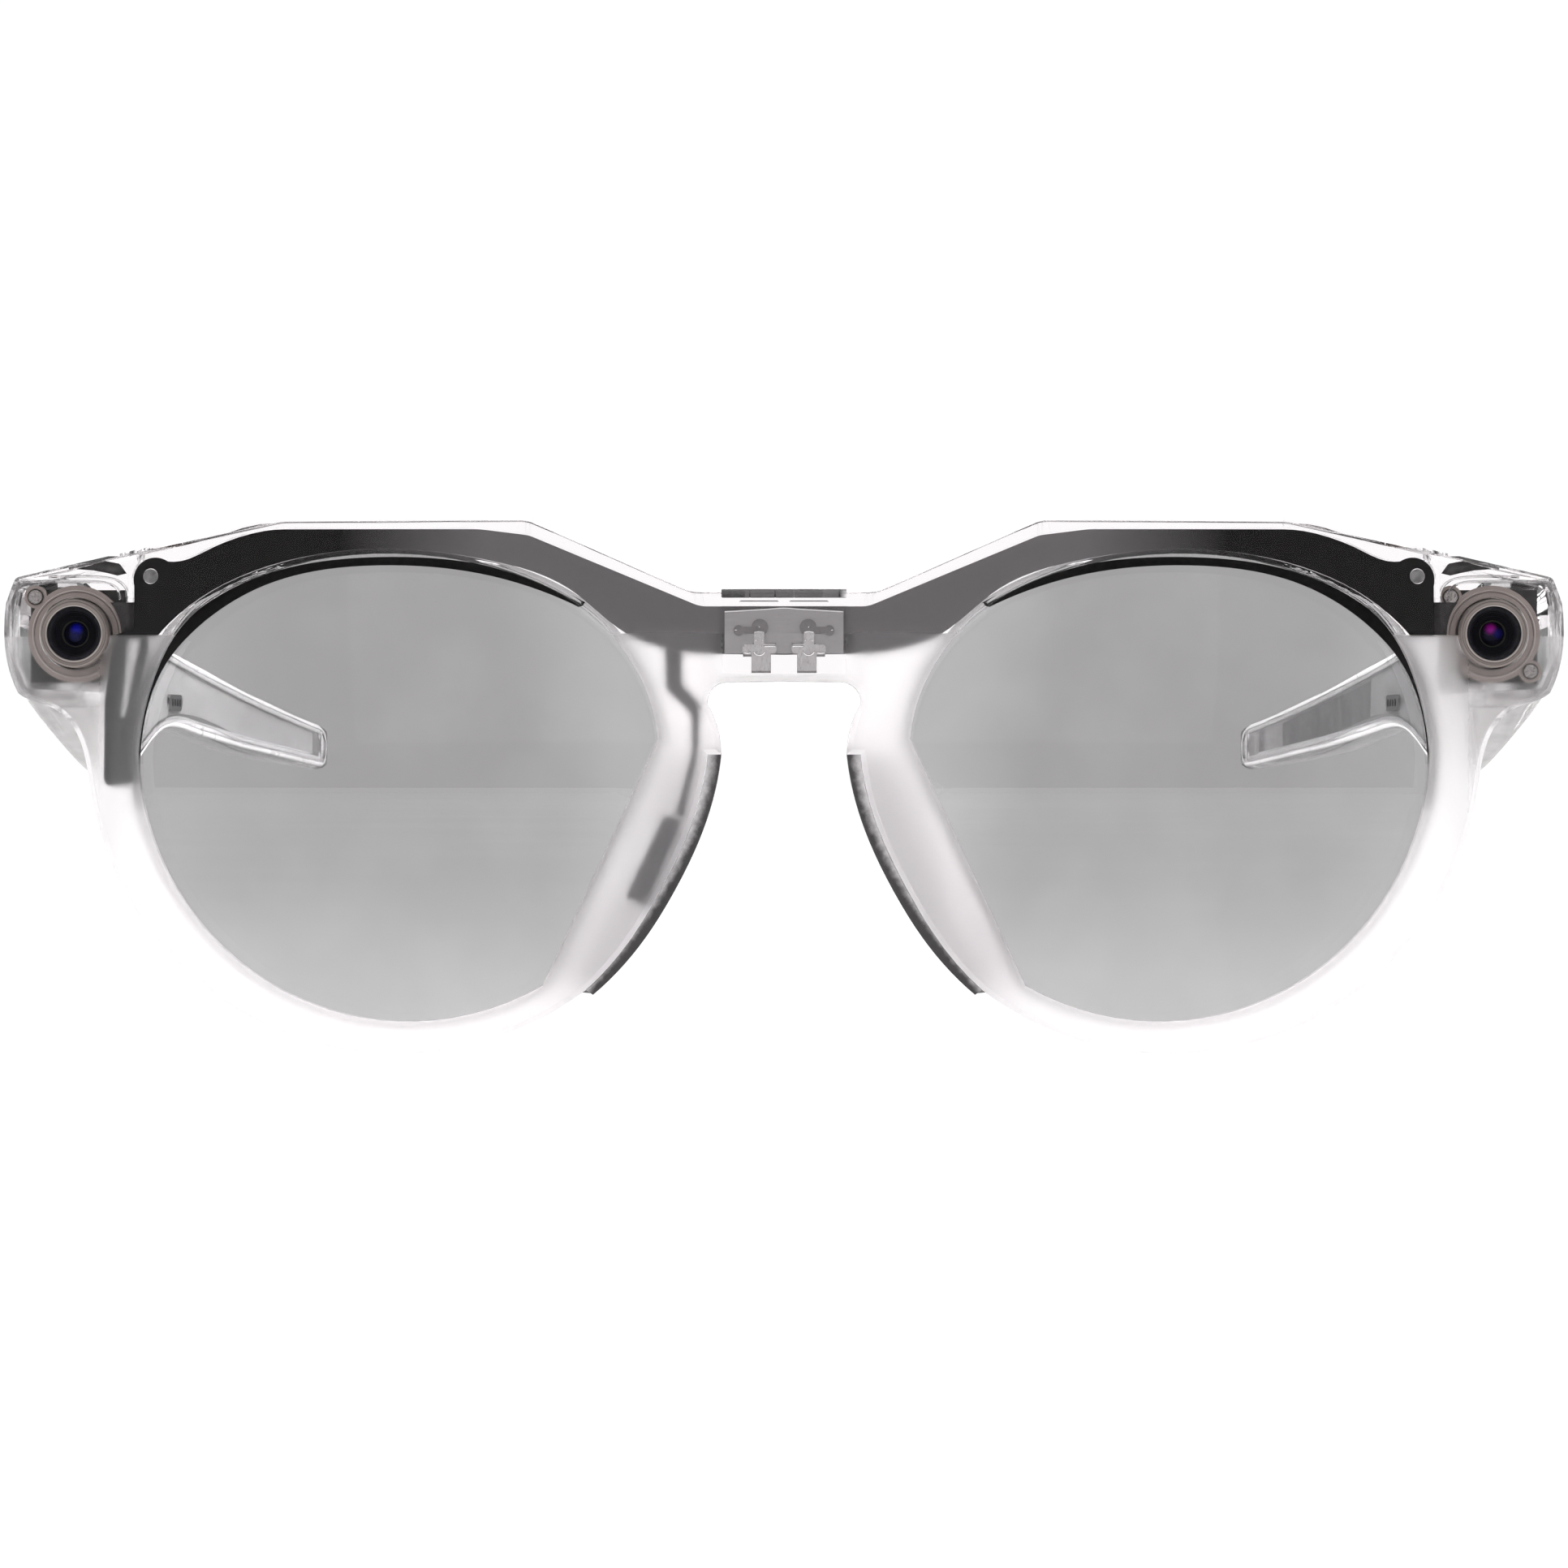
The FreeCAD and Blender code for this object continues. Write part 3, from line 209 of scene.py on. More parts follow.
def lens_tint():
    """Grey lens, painted a little paler towards its lower, nose and outer edges: a painted
    reflection of the lamps.
    """
    f = Finish("lens_grey_tint", (0.39, 0.385, 0.388), 0.01, IOR=1.5)
    f.set("Transmission Weight", 1.0)
    x = f.math("ABSOLUTE", f.axis("X"))
    z = f.axis("Z")
    # painted reflection: the tint is made paler towards the lower, nose and outer edges
    low_edge = f.span(z, 0.0035, 0.018, 1.0, 0.0, smooth=True)
    from_nose = f.math("SUBTRACT", x, f.math("MULTIPLY", z, 0.18))
    nose_side = f.span(from_nose, 0.008, 0.021, 1.0, 0.0, smooth=True)
    outer = f.span(x, 0.047, 0.062, 0.0, 0.42, smooth=True)
    lighter = f.math("MINIMUM", f.math("ADD", f.math("ADD", low_edge, nose_side), outer), 1.0)
    cloud = f.math("MULTIPLY", f.span(f.noise(9.0, 2.0), 0.42, 0.7), 0.22)
    paler = f.math("ADD", f.math("MULTIPLY", lighter, 0.8), cloud)
    f.link(f.mix(paler, (0.375, 0.369, 0.372), (0.50, 0.497, 0.50)), "Base Color")
    f.rough_grain(0.004, 0.016, 20.0, 2.0)
    return f


def flexible_board():
    """Matt black film with painted glare: painted greyer towards the bridge, and darker again below
    the clear line, where the painted glare is weaker.
    """
    f = Finish("black_flex_film", (0.008, 0.008, 0.008), 0.55, IOR=1.4)
    x = f.math("ABSOLUTE", f.axis("X"))
    # painted glare: the film is painted grey towards the bridge, where glare through the plastic
    # greys it
    grey = f.span(x, 0.0285, 0.0425, 1.0, 0.0)
    speck = f.span(f.noise(0.25, 4.0), 0.3, 0.7)
    black = f.mix(speck, (0.0065, 0.0062, 0.0064), (0.0105, 0.0098, 0.0100))
    film = f.mix(speck, (0.150, 0.145, 0.148), (0.166, 0.160, 0.163))
    # below the clear line the painted glare is darker, as the frosted plastic there adds its own
    # haze
    deep = f.mix(speck, (0.055, 0.053, 0.054), (0.063, 0.060, 0.061))
    under = f.math("MULTIPLY", f.below_line(), grey)
    shade = f.mix(under, f.mix(grey, black, film), deep)
    f.link(shade, "Base Color")
    f.set("Specular IOR Level", 0.12)
    f.rough_grain(0.45, 0.65, 0.8)
    lanes = f.node("ShaderNodeTexWave",
                   {"Vector": f.coords, "Scale": 260.0, "Distortion": 1.5, "Detail": 1.0},
                   bands_direction="Z").outputs["Fac"]
    f.bump(f.noise(0.15, 3.0), 0.01, 0.25)
    f.bump(f.span(lanes, 0.45, 0.6), 0.01, 0.15)
    return f


def pad_silicone():
    """Soft grey silicone: dark along the free edge, painted paler in front towards the rim, where
    the frosted rim's haze of light lies over it.
    """
    f = Finish("pad_silicone", (0.045, 0.041, 0.043), 0.45)
    x = f.math("ABSOLUTE", f.axis("X"))
    z = f.axis("Z")
    # the free edge in front view: x = edge_x + spread * drop ** power, with drop down from pad_top
    pad_top, edge_x, power, spread = 0.0286, 0.0060, 1.68, 6.95
    drop = f.math("MAXIMUM", f.math("SUBTRACT", pad_top, z), 0.0)
    curve = f.math("MULTIPLY", f.math("POWER", drop, power), spread)
    away = f.math("SUBTRACT", x, f.math("ADD", edge_x, curve))
    grain = f.span(f.noise(0.7, 3.0), 0.35, 0.65, -0.00012, 0.00012)
    # painted light: paler towards the rim, standing in for the haze of the frosted rim in front of
    # the pad
    pale = f.span(f.math("ADD", away, grain), 0.0002, 0.0016, 0.0, 1.0, smooth=True)
    front = f.span(f.axis("Y"), -0.0715, -0.0695, 1.0, 0.0, smooth=True)
    dark = f.mix(f.noise(0.7, 3.0), (0.034, 0.031, 0.033), (0.056, 0.051, 0.053))
    light = f.mix(f.noise(1.4, 3.0), (0.62, 0.60, 0.61), (0.72, 0.70, 0.71))
    f.link(f.mix(f.math("MULTIPLY", pale, front), dark, light), "Base Color")
    f.rough_grain(0.42, 0.6, 1.1)
    f.bump(f.noise(0.10, 3.0), 0.02, 0.4)
    return f


def plain(name, colour_a, colour_b, rough_low, rough_high, grain, bump_size, bump_depth, **sockets):
    """Two close colours, roughness and bump in grains of the given sizes in millimetres."""
    f = Finish(name, colour_a, rough_low, **sockets)
    f.colour_grain(colour_a, colour_b, grain)
    f.rough_grain(rough_low, rough_high, grain * 1.7)
    f.bump(f.noise(bump_size, 3.0), bump_depth, 0.4)
    return f


def brushed(name, colour_a, colour_b, rough_low, rough_high, along, size=0.12, **sockets):
    """Metal with streaks: the smaller a factor of along, the longer the streaks on that axis."""
    f = Finish(name, colour_a, rough_low, Metallic=1.0, **sockets)
    streaks = f.noise(size, 3.0, 0.6, f.stretched(along))
    f.link(f.mix(f.span(streaks, 0.3, 0.7), colour_a, colour_b), "Base Color")
    f.link(f.span(streaks, 0.3, 0.7, rough_low, rough_high), "Roughness")
    f.bump(streaks, 0.008, 0.3)
    return f


def turned(name, colour_a, colour_b, rough_low, rough_high, metallic):
    """Fine rings round the middle of each camera."""
    f = Finish(name, colour_a, rough_low, Metallic=metallic)
    radius = f.distance(f.math("ABSOLUTE", f.axis("X")), f.axis("Z"), CAMERA_X, CAMERA_Z)
    depth = f.math("MULTIPLY", f.axis("Y"), 0.6)
    along = f.node("ShaderNodeCombineXYZ", {0: radius, 1: depth}).outputs[0]
    rings = f.noise(0.11, 3.0, 0.6, along)
    grain = f.noise(0.6, 3.0)
    ringed = f.math("MULTIPLY", f.span(rings, 0.3, 0.7), 0.6)
    shade = f.math("ADD", ringed, f.math("MULTIPLY", grain, 0.4))
    f.link(f.mix(shade, colour_a, colour_b), "Base Color")
    f.link(f.span(rings, 0.3, 0.7, rough_low, rough_high), "Roughness")
    f.bump(rings, 0.01, 0.35)
    return f


def coated(name, centre_x, glow_at, deep, reflection_colour, second, second_reflection_at):
    """A dark coated lens element with two soft coloured spots painted in as the coating's
    reflections; places in mm from the camera axis.
    """
    f = Finish(name, deep, 0.05, IOR=1.6)
    f.set("Specular Tint", (0.25, 0.25, 0.40, 1.0))
    f.set("Coat Weight", 0.08)
    f.set("Coat Roughness", 0.03)

    def spot(place, reach):
        away = f.distance(f.axis("X"), f.axis("Z"), centre_x + place[0] * MM,
                          CAMERA_Z + place[1] * MM)
        return f.span(away, 0.0001, reach * MM, 1.0, 0.0, smooth=True)

    # painted reflections: coloured spots where the coating reflects the light
    first = f.mix(spot(glow_at, 0.75), deep, reflection_colour)
    f.link(f.mix(spot(second_reflection_at, 0.7), first, second), "Base Color")
    f.rough_grain(0.03, 0.07, 0.3)
    return f


front_clear = moulded_clear()
temple_clear = crystal("temple_crystal", (0.985, 0.98, 0.985), (0.96, 0.955, 0.96), facet=True)
cover_clear = crystal("temple_cover_crystal", (0.97, 0.965, 0.97), (0.93, 0.925, 0.93), 0.02, 0.06)
pin_clear = plain("pin_grey_nylon", (0.10, 0.10, 0.10), (0.22, 0.22, 0.22), 0.25, 0.4, 0.8, 0.2,
                  0.02)
tint = lens_tint()
film = flexible_board()
seal = plain("seal_rubber", (0.005, 0.005, 0.005), (0.009, 0.008, 0.008), 0.35, 0.55, 0.5, 0.12,
             0.01, Specular_IOR_Level=0.12)
rubber = pad_silicone()
sensor = plain("sensor_housing", (0.030, 0.028, 0.029), (0.042, 0.039, 0.040), 0.4, 0.55, 0.5, 0.1,
               0.015, Specular_IOR_Level=0.2)
plate = brushed("bridge_plate_steel", (0.30, 0.292, 0.296), (0.37, 0.36, 0.365), 0.45, 0.6,
                (0.15, 1.0, 1.0))
spring = brushed("spring_leaf_steel", (0.13, 0.125, 0.127), (0.18, 0.172, 0.175), 0.3, 0.42,
                 (1.0, 1.0, 0.3))
gold = brushed("gold_plate", (0.83, 0.60, 0.24), (0.95, 0.74, 0.38), 0.16, 0.28, (1.0, 0.2, 1.0))
flange = turned("camera_flange_metal", (0.215, 0.180, 0.166), (0.30, 0.262, 0.245), 0.36, 0.52, 0.6)
screws = brushed("screw_steel", (0.14, 0.13, 0.125), (0.30, 0.285, 0.28), 0.2, 0.35,
                 (1.0, 1.0, 1.0), 0.3)
black = plain("camera_housing_black", (0.026, 0.025, 0.025), (0.040, 0.038, 0.038), 0.4, 0.6, 0.4,
              0.12, 0.015, Specular_IOR_Level=0.25)
hinge = brushed("hinge_steel", (0.45, 0.44, 0.44), (0.66, 0.65, 0.65), 0.22, 0.38, (1.0, 0.25, 1.0))
board = plain("board_green_grey", (0.16, 0.18, 0.17), (0.24, 0.26, 0.25), 0.35, 0.55, 0.6, 0.2,
              0.03)
foil = plain("cell_foil", (0.42, 0.42, 0.43), (0.60, 0.60, 0.61), 0.28, 0.45, 2.2, 1.6, 0.08,
             Metallic=0.8)
light_panel = plain("inner_panel_light", (0.70, 0.70, 0.70), (0.80, 0.80, 0.80), 0.45, 0.6, 1.2,
                    0.15, 0.01)
grey_panel = plain("inner_panel_grey", (0.34, 0.34, 0.34), (0.42, 0.42, 0.42), 0.45, 0.6, 1.2, 0.15,
                   0.01)
vent = brushed("vent_steel", (0.34, 0.34, 0.35), (0.52, 0.52, 0.53), 0.3, 0.45, (1.0, 0.3, 1.0))
button = plain("button_plastic", (0.62, 0.60, 0.60), (0.72, 0.70, 0.70), 0.28, 0.42, 0.8, 0.15,
               0.01)
switch = plain("switch_plastic", (0.10, 0.10, 0.10), (0.15, 0.15, 0.15), 0.4, 0.55, 0.5, 0.12, 0.02)
blue = coated("lens_coat_blue", -CAMERA_X, (0.05, 0.45), (0.002, 0.002, 0.012),
              (0.006, 0.006, 0.65), (0.003, 0.004, 0.10), (-0.1, -0.2))
violet = coated("lens_coat_violet", CAMERA_X, (-0.15, 0.5), (0.003, 0.002, 0.008),
                (0.55, 0.004, 0.42), (0.008, 0.006, 0.20), (0.55, 0.05))

window = Finish("camera_window_glass", (0.05, 0.05, 0.055), 0.02, IOR=1.52)
window.set("Specular Tint", (0.10, 0.10, 0.14, 1.0))
window.set("Transmission Weight", 1.0)
window.rough_grain(0.008, 0.03, 1.5)
window.colour_grain((0.62, 0.62, 0.66), (0.68, 0.68, 0.72), 2.0)

dress(front_clear, "front_shell", "rear_cover")
dress(temple_clear, *both("temple_shell"))
dress(cover_clear, *both("temple_cover"))
dress(pin_clear, "board_locating_pins")
dress(tint, *both("lens"))
dress(film, "brow_flex_board", "nose_flex", "right_antenna_flex", "right_touch_strip",
      "bridge_led_strip")
dress(seal, *both("lens_seal"))
dress(rubber, *both("nose_pad"))
dress(sensor, "nose_sensor", *both("camera_connector"))
dress(plate, "bridge_plate")
dress(spring, *both("contact_spring"))
dress(gold, "charging_pins")
dress(flange, *both("camera_mount"), *both("camera_barrel"))
dress(screws, "camera_screws", "hinge_front_screws", *both("hinge_screw"),
      *both("temple_leaf_screws"))
dress(black, *both("camera_module"), "button_switch", "power_switch_contacts")
dress(hinge, *both("hinge_front_leaf"), *both("hinge_temple_leaf"))
dress(board, *both("main_board"))
dress(foil, *both("battery"))
dress(light_panel, "right_inner_panel")
dress(grey_panel, "left_inner_panel")
dress(vent, *both("speaker_vent"))
dress(button, "capture_button", *both("speaker"))
dress(switch, "power_switch")
dress(window, *both("camera_window"))
dress(blue, "right_camera_lens")
dress(violet, "left_camera_lens")

# clear parts let the lamps through to what they hold
for name in ("front_shell", "rear_cover", "board_locating_pins", *both("lens"),
             *both("temple_shell"), *both("temple_cover"), *both("camera_window")):
    nodes[name].visible_shadow = False


# ---------------------------------------------------------------- mesh tools
# Details are written in millimetres: x from the middle, y back from the bridge, z up from the
# lens centres. These two say where that origin lies in the frame.
BRIDGE_Y, LENS_Z = -74.35, 25.772
WRAP_R = 300.0                # radius of the front surface, seen from above


def at(x, y, z):
    return Vector((x, y + BRIDGE_Y, z + LENS_Z)) * MM


def wrapped(x, depth):
    """y of a point that lies at that depth under the curved front surface."""
    return WRAP_R - math.sqrt((WRAP_R - depth) ** 2 - x * x)


def line_at(table, y):
    """Value at y of a table of (y, value) rows; past its end, the last value."""
    for (y0, v0), (y1, v1) in zip(table, table[1:]):
        if y <= y1:
            return v0 + (v1 - v0) * (y - y0) / (y1 - y0)
    return table[-1][1]


def piece(name, bm, body, finish, smooth=True):
    """Turn the mesh into an object that rides on the body."""
    bmesh.ops.recalc_face_normals(bm, faces=bm.faces)
    mesh = bpy.data.meshes.new(name)
    bm.to_mesh(mesh)
    bm.free()
    for face in mesh.polygons:
        face.use_smooth = smooth
    mesh.materials.append(finish.mat)
    made = bpy.data.objects.new(name, mesh)
    scene.collection.objects.link(made)
    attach(made, body)
    return made


def add_lathe(bm, centre, profile, steps=96):
    """Closed ring: profile points (radius, y), turned round the y axis through centre (x, z)."""
    rings = []
    for n in range(steps):
        a = 2 * math.pi * n / steps
        rings.append([bm.verts.new(at(centre[0] + r * math.cos(a), y, centre[1] + r * math.sin(a)))
                      for r, y in profile])
    for n in range(steps):
        here, there = rings[n], rings[(n + 1) % steps]
        for k in range(len(profile)):
            j = (k + 1) % len(profile)
            bm.faces.new((here[k], here[j], there[j], there[k]))


def tube_profile(radius, y, r, sides=10):
    """Profile of a round ring, r thick from its middle."""
    angles = [2 * math.pi * k / sides for k in range(sides)]
    return [(radius + r * math.cos(a), y + r * math.sin(a)) for a in angles]


def arc_points(centre, radius, angles):
    return [(centre[0] + radius * math.cos(math.radians(a)),
             centre[1] + radius * math.sin(math.radians(a))) for a in angles]


def smooth_path(points, steps=6):
    """Points of a Catmull-Rom line through the given ones."""
    pts = [Vector(p) for p in points]
    pts = [pts[0] * 2 - pts[1]] + pts + [pts[-1] * 2 - pts[-2]]
    out = []
    for a, b, c, d in zip(pts, pts[1:], pts[2:], pts[3:]):
        for k in range(steps):
            t = k / steps
            out.append(0.5 * ((2 * b) + (c - a) * t + (2 * a - 5 * b + 4 * c - d) * t * t
                              + (3 * b - a - 3 * c + d) * t ** 3))
    out.append(pts[-2])
    return out


def add_bar(bm, path, radius, sides=10):
    """Round bar with domed ends along points given in millimetres."""
    pts = [at(*p) for p in path]
    first, last = (pts[1] - pts[0]).normalized(), (pts[-1] - pts[-2]).normalized()
    # each dome has two rings: (share of the radius, distance past the end in radii)
    dome = ((0.02, 1.0), (0.7, 0.7))
    rings = [(pts[0] - first * radius * MM * past, share) for share, past in dome]
    rings += [(q, 1.0) for q in pts]
    rings += [(pts[-1] + last * radius * MM * past, share) for share, past in dome[::-1]]
    angles = [2 * math.pi * k / sides for k in range(sides)]
    off_axis = Vector((0, 1, 0.13))      # never parallel to a bar
    made = []
    for n, (q, share) in enumerate(rings):
        ahead = rings[min(n + 1, len(rings) - 1)][0] - rings[max(n - 1, 0)][0]
        ahead.normalize()
        side = ahead.cross(off_axis).normalized()
        up = side.cross(ahead)
        made.append([bm.verts.new(q + (side * math.cos(a) + up * math.sin(a)) * radius * MM * share)
                     for a in angles])
    for here, there in zip(made, made[1:]):
        for k in range(sides):
            j = (k + 1) % sides
            bm.faces.new((here[k], here[j], there[j], there[k]))
    bm.faces.new(made[0])
    bm.faces.new(made[-1])


def add_plate(bm, outline, depth0, depth1):
    """Stamped piece that follows the front's curve: outline (x, z), depths under the surface."""
    front = [bm.verts.new(at(x, wrapped(x, depth0), z)) for x, z in outline]
    back = [bm.verts.new(at(x, wrapped(x, depth1), z)) for x, z in outline]
    bm.faces.new(front)
    bm.faces.new(back[::-1])
    for k in range(len(outline)):
        j = (k + 1) % len(outline)
        bm.faces.new((front[k], back[k], back[j], front[j]))


def round_rect(x0, x1, z0, z1, r, steps=5):
    out = []
    for centre, start in (((x1 - r, z1 - r), 0), ((x0 + r, z1 - r), 90),
                          ((x0 + r, z0 + r), 180), ((x1 - r, z0 + r), 270)):
        out += arc_points(centre, r, [start + 90 * k / steps for k in range(steps + 1)])
    return out


def flipped(points, side):
    """The points as they are for side 1, mirrored in x for side -1."""
    return [(p[0] * side, *p[1:]) for p in points]


# ---------------------------------------------------------------- detail finishes
# bright steel for bars painted in as highlights on the contact springs
polished = brushed("highlight_bar_steel", (0.80, 0.79, 0.79), (0.92, 0.91, 0.91), 0.12, 0.22,
                   (1.0, 1.0, 0.5))
leaf_steel = brushed("contact_leaf_steel", (0.30, 0.292, 0.295), (0.42, 0.41, 0.415), 0.25, 0.38,
                     (1.0, 1.0, 0.3))
# lighter metal for rings painted in as highlights on the camera lips
lip_highlight_metal = turned("camera_ring_light", (0.42, 0.37, 0.35), (0.55, 0.50, 0.48), 0.25, 0.4, 0.8)
deep_black = plain("iris_black", (0.0016, 0.0015, 0.0015), (0.003, 0.0028, 0.0028), 0.5, 0.65, 0.3,
                   0.1, 0.008, Specular_IOR_Level=0.1)
# dark metal for rings painted in as shade in the camera grooves and round its screws
shade_ring_metal = turned("camera_ring_dark", (0.030, 0.026, 0.025), (0.05, 0.045, 0.042), 0.4, 0.55, 0.2)
olive = turned("lens_ring_olive", (0.045, 0.047, 0.018), (0.075, 0.078, 0.03), 0.3, 0.45, 0.5)
dash_grey = plain("dash_grey", (0.26, 0.255, 0.257), (0.33, 0.325, 0.327), 0.4, 0.55, 0.6, 0.12,
                  0.01)
# white for bars painted in as edge highlights, and for the temples' printed lines
highlight_and_print_white = plain("painted_highlight_and_print_white", (0.90, 0.895, 0.90), (0.96, 0.955, 0.96), 0.25, 0.4, 1.5, 0.3,
                   0.02)
liner_grey = plain("liner_grey", (0.50, 0.485, 0.487), (0.58, 0.565, 0.567), 0.45, 0.6, 1.6, 0.3,
                   0.02)
smoke = plain("hinge_flex_film", (0.020, 0.019, 0.019), (0.05, 0.048, 0.047), 0.4, 0.6, 0.9, 0.2,
              0.02)


STRIP_HALF = 5.95             # half the length of the strip over the bridge


def strip_finish():
    """Dark strip over the bridge: darker and lighter windows, and lighter towards the top."""
    f = Finish("bridge_strip_face", (0.03, 0.03, 0.03), 0.3)
    x = f.span(f.axis("X"), -STRIP_HALF * MM, STRIP_HALF * MM)
    ramp = f.node("ShaderNodeValToRGB", {0: x})
    ramp.color_ramp.interpolation = "LINEAR"
    # (place along the strip, brightness), from the wearer's right to the left
    stops = ((0.0, 0.055), (0.41, 0.09), (0.425, 0.004), (0.565, 0.004), (0.58, 0.24), (0.65, 0.20),
             (0.67, 0.05), (0.73, 0.06), (0.75, 0.20), (0.93, 0.15), (0.945, 0.004), (1.0, 0.004))
    elements = ramp.color_ramp.elements
    for place, level in stops:
        # by the last stop, elements[1] is the stop at 0.41, and the ramp's own white stays at 1.0
        element = elements[int(place)] if place in (0.0, 1.0) else elements.new(place)
        element.color = (level, level * 0.97, level * 0.98, 1.0)
    top = f.span(f.axis("Z"), 43.70 * MM, 44.05 * MM, 0.0, 0.55, smooth=True)
    mottle = f.math("MULTIPLY", f.span(f.noise(0.5, 3.0), 0.4, 0.7), 0.25)
    paler = f.math("ADD", top, mottle)
    f.link(f.mix(paler, ramp.outputs[0], (0.20, 0.195, 0.197)), "Base Color")
    f.set("Specular IOR Level", 0.2)
    f.rough_grain(0.2, 0.4, 0.6)
    return f


strip_face = strip_finish()


# ---------------------------------------------------------------- cameras
CAMERA_AXIS = (68.4, 14.5)


def camera_details(side, name):
    """Light rings painted in as highlights on the lips, dark rings painted in as shade in the
    grooves and round the screws, the iris, the lens ring, and the tail of flex that goes up beside
    them.
    """
    centre = (side * CAMERA_AXIS[0], CAMERA_AXIS[1])
    bm = bmesh.new()
    # painted highlights: light rings on the lips
    add_lathe(bm, centre, tube_profile(2.70, 7.40, 0.09))
    add_lathe(bm, centre, tube_profile(4.22, 10.60, 0.06))
    piece(name + "camera_lip_highlight_rings", bm, "front", lip_highlight_metal)
    bm = bmesh.new()
    # painted shade: dark rings in the grooves
    add_lathe(bm, centre, tube_profile(3.06, 7.33, 0.035))
    add_lathe(bm, centre, [(3.31, 10.50), (3.50, 10.55), (3.50, 10.62), (3.31, 10.62)])
    add_lathe(bm, centre, tube_profile(4.05, 10.60, 0.03))
    piece(name + "camera_groove_shade_rings", bm, "front", shade_ring_metal)
    bm = bmesh.new()
    add_lathe(bm, centre, [(2.64, 8.09), (2.1, 8.30), (2.08, 8.42), (1.7, 8.55), (1.68, 8.68),
                           (1.30, 8.82), (1.30, 9.2), (2.25, 8.6), (2.64, 8.2)])
    piece(name + "camera_iris", bm, "front", deep_black, smooth=False)
    bm = bmesh.new()
    add_lathe(bm, centre, tube_profile(1.24, 8.86, 0.05))
    piece(name + "camera_lens_ring", bm, "front", olive)
    bm = bmesh.new()
    # painted shade: dark rings round the two screws
    for dx, dz in ((-3.95, 3.6), (3.75, -3.6)):
        add_lathe(bm, (centre[0] + dx, centre[1] + dz), tube_profile(0.72, 10.42, 0.07), 40)
    piece(name + "camera_screw_shade_rings", bm, "front", shade_ring_metal)

    arc = arc_points(CAMERA_AXIS, 4.62, range(140, 183, 3))
    tail = [(62.2, 14.34), (62.2, 17.42), (62.3, 17.5), (arc[0][0], 17.5)] + arc
    bm = bmesh.new()
    add_plate(bm, flipped(tail, side), 1.24, 1.34)
    piece(name + "camera_tail", bm, "front", sensor)


def pod_details(side, name):
    """Clear ribs over the camera, and the dark flex that goes back to the hinge."""
    rib_depth, rib_height, rib_reach = 1.35, 0.24, 2.6
    outer = [(63.3, 17.5), (63.25, 18.4), (63.9, 19.3), (65.0, 19.75), (67.5, 19.95), (71.0, 19.9)]
    inner = [(64.0, 17.7), (64.3, 18.7), (65.2, 19.25), (67.0, 19.45), (71.5, 19.5), (73.8, 19.35)]
    for n, line in enumerate((outer, inner)):
        path = smooth_path([(x, 0, z) for x, z in line])
        bm = bmesh.new()
        rows = []
        for q in path:
            front = wrapped(q.x, rib_depth)
            rear = front + rib_reach
            section = ((front, 0.0), (front, rib_height), (rear, rib_height), (rear, 0.0))
            rows.append([bm.verts.new(at(q.x * side, y, q.z + dz)) for y, dz in section])
        for here, there in zip(rows, rows[1:]):
            for k in range(4):
                j = (k + 1) % 4
                bm.faces.new((here[k], here[j], there[j], there[k]))
        bm.faces.new(rows[0])
        bm.faces.new(rows[-1])
        made = piece(f"{name}pod_rib_{n + 1}", bm, "front", temple_clear)
        made.visible_shadow = False

    wedge = [(63.3, 20.3), (64.0, 21.25), (65.3, 21.5), (68.3, 20.75), (66.6, 20.62), (65.2, 20.35),
             (64.2, 20.1)]
    bm = bmesh.new()
    add_plate(bm, flipped(wedge, side), 1.5, 1.7)
    piece(name + "hinge_flex", bm, "front", smoke)


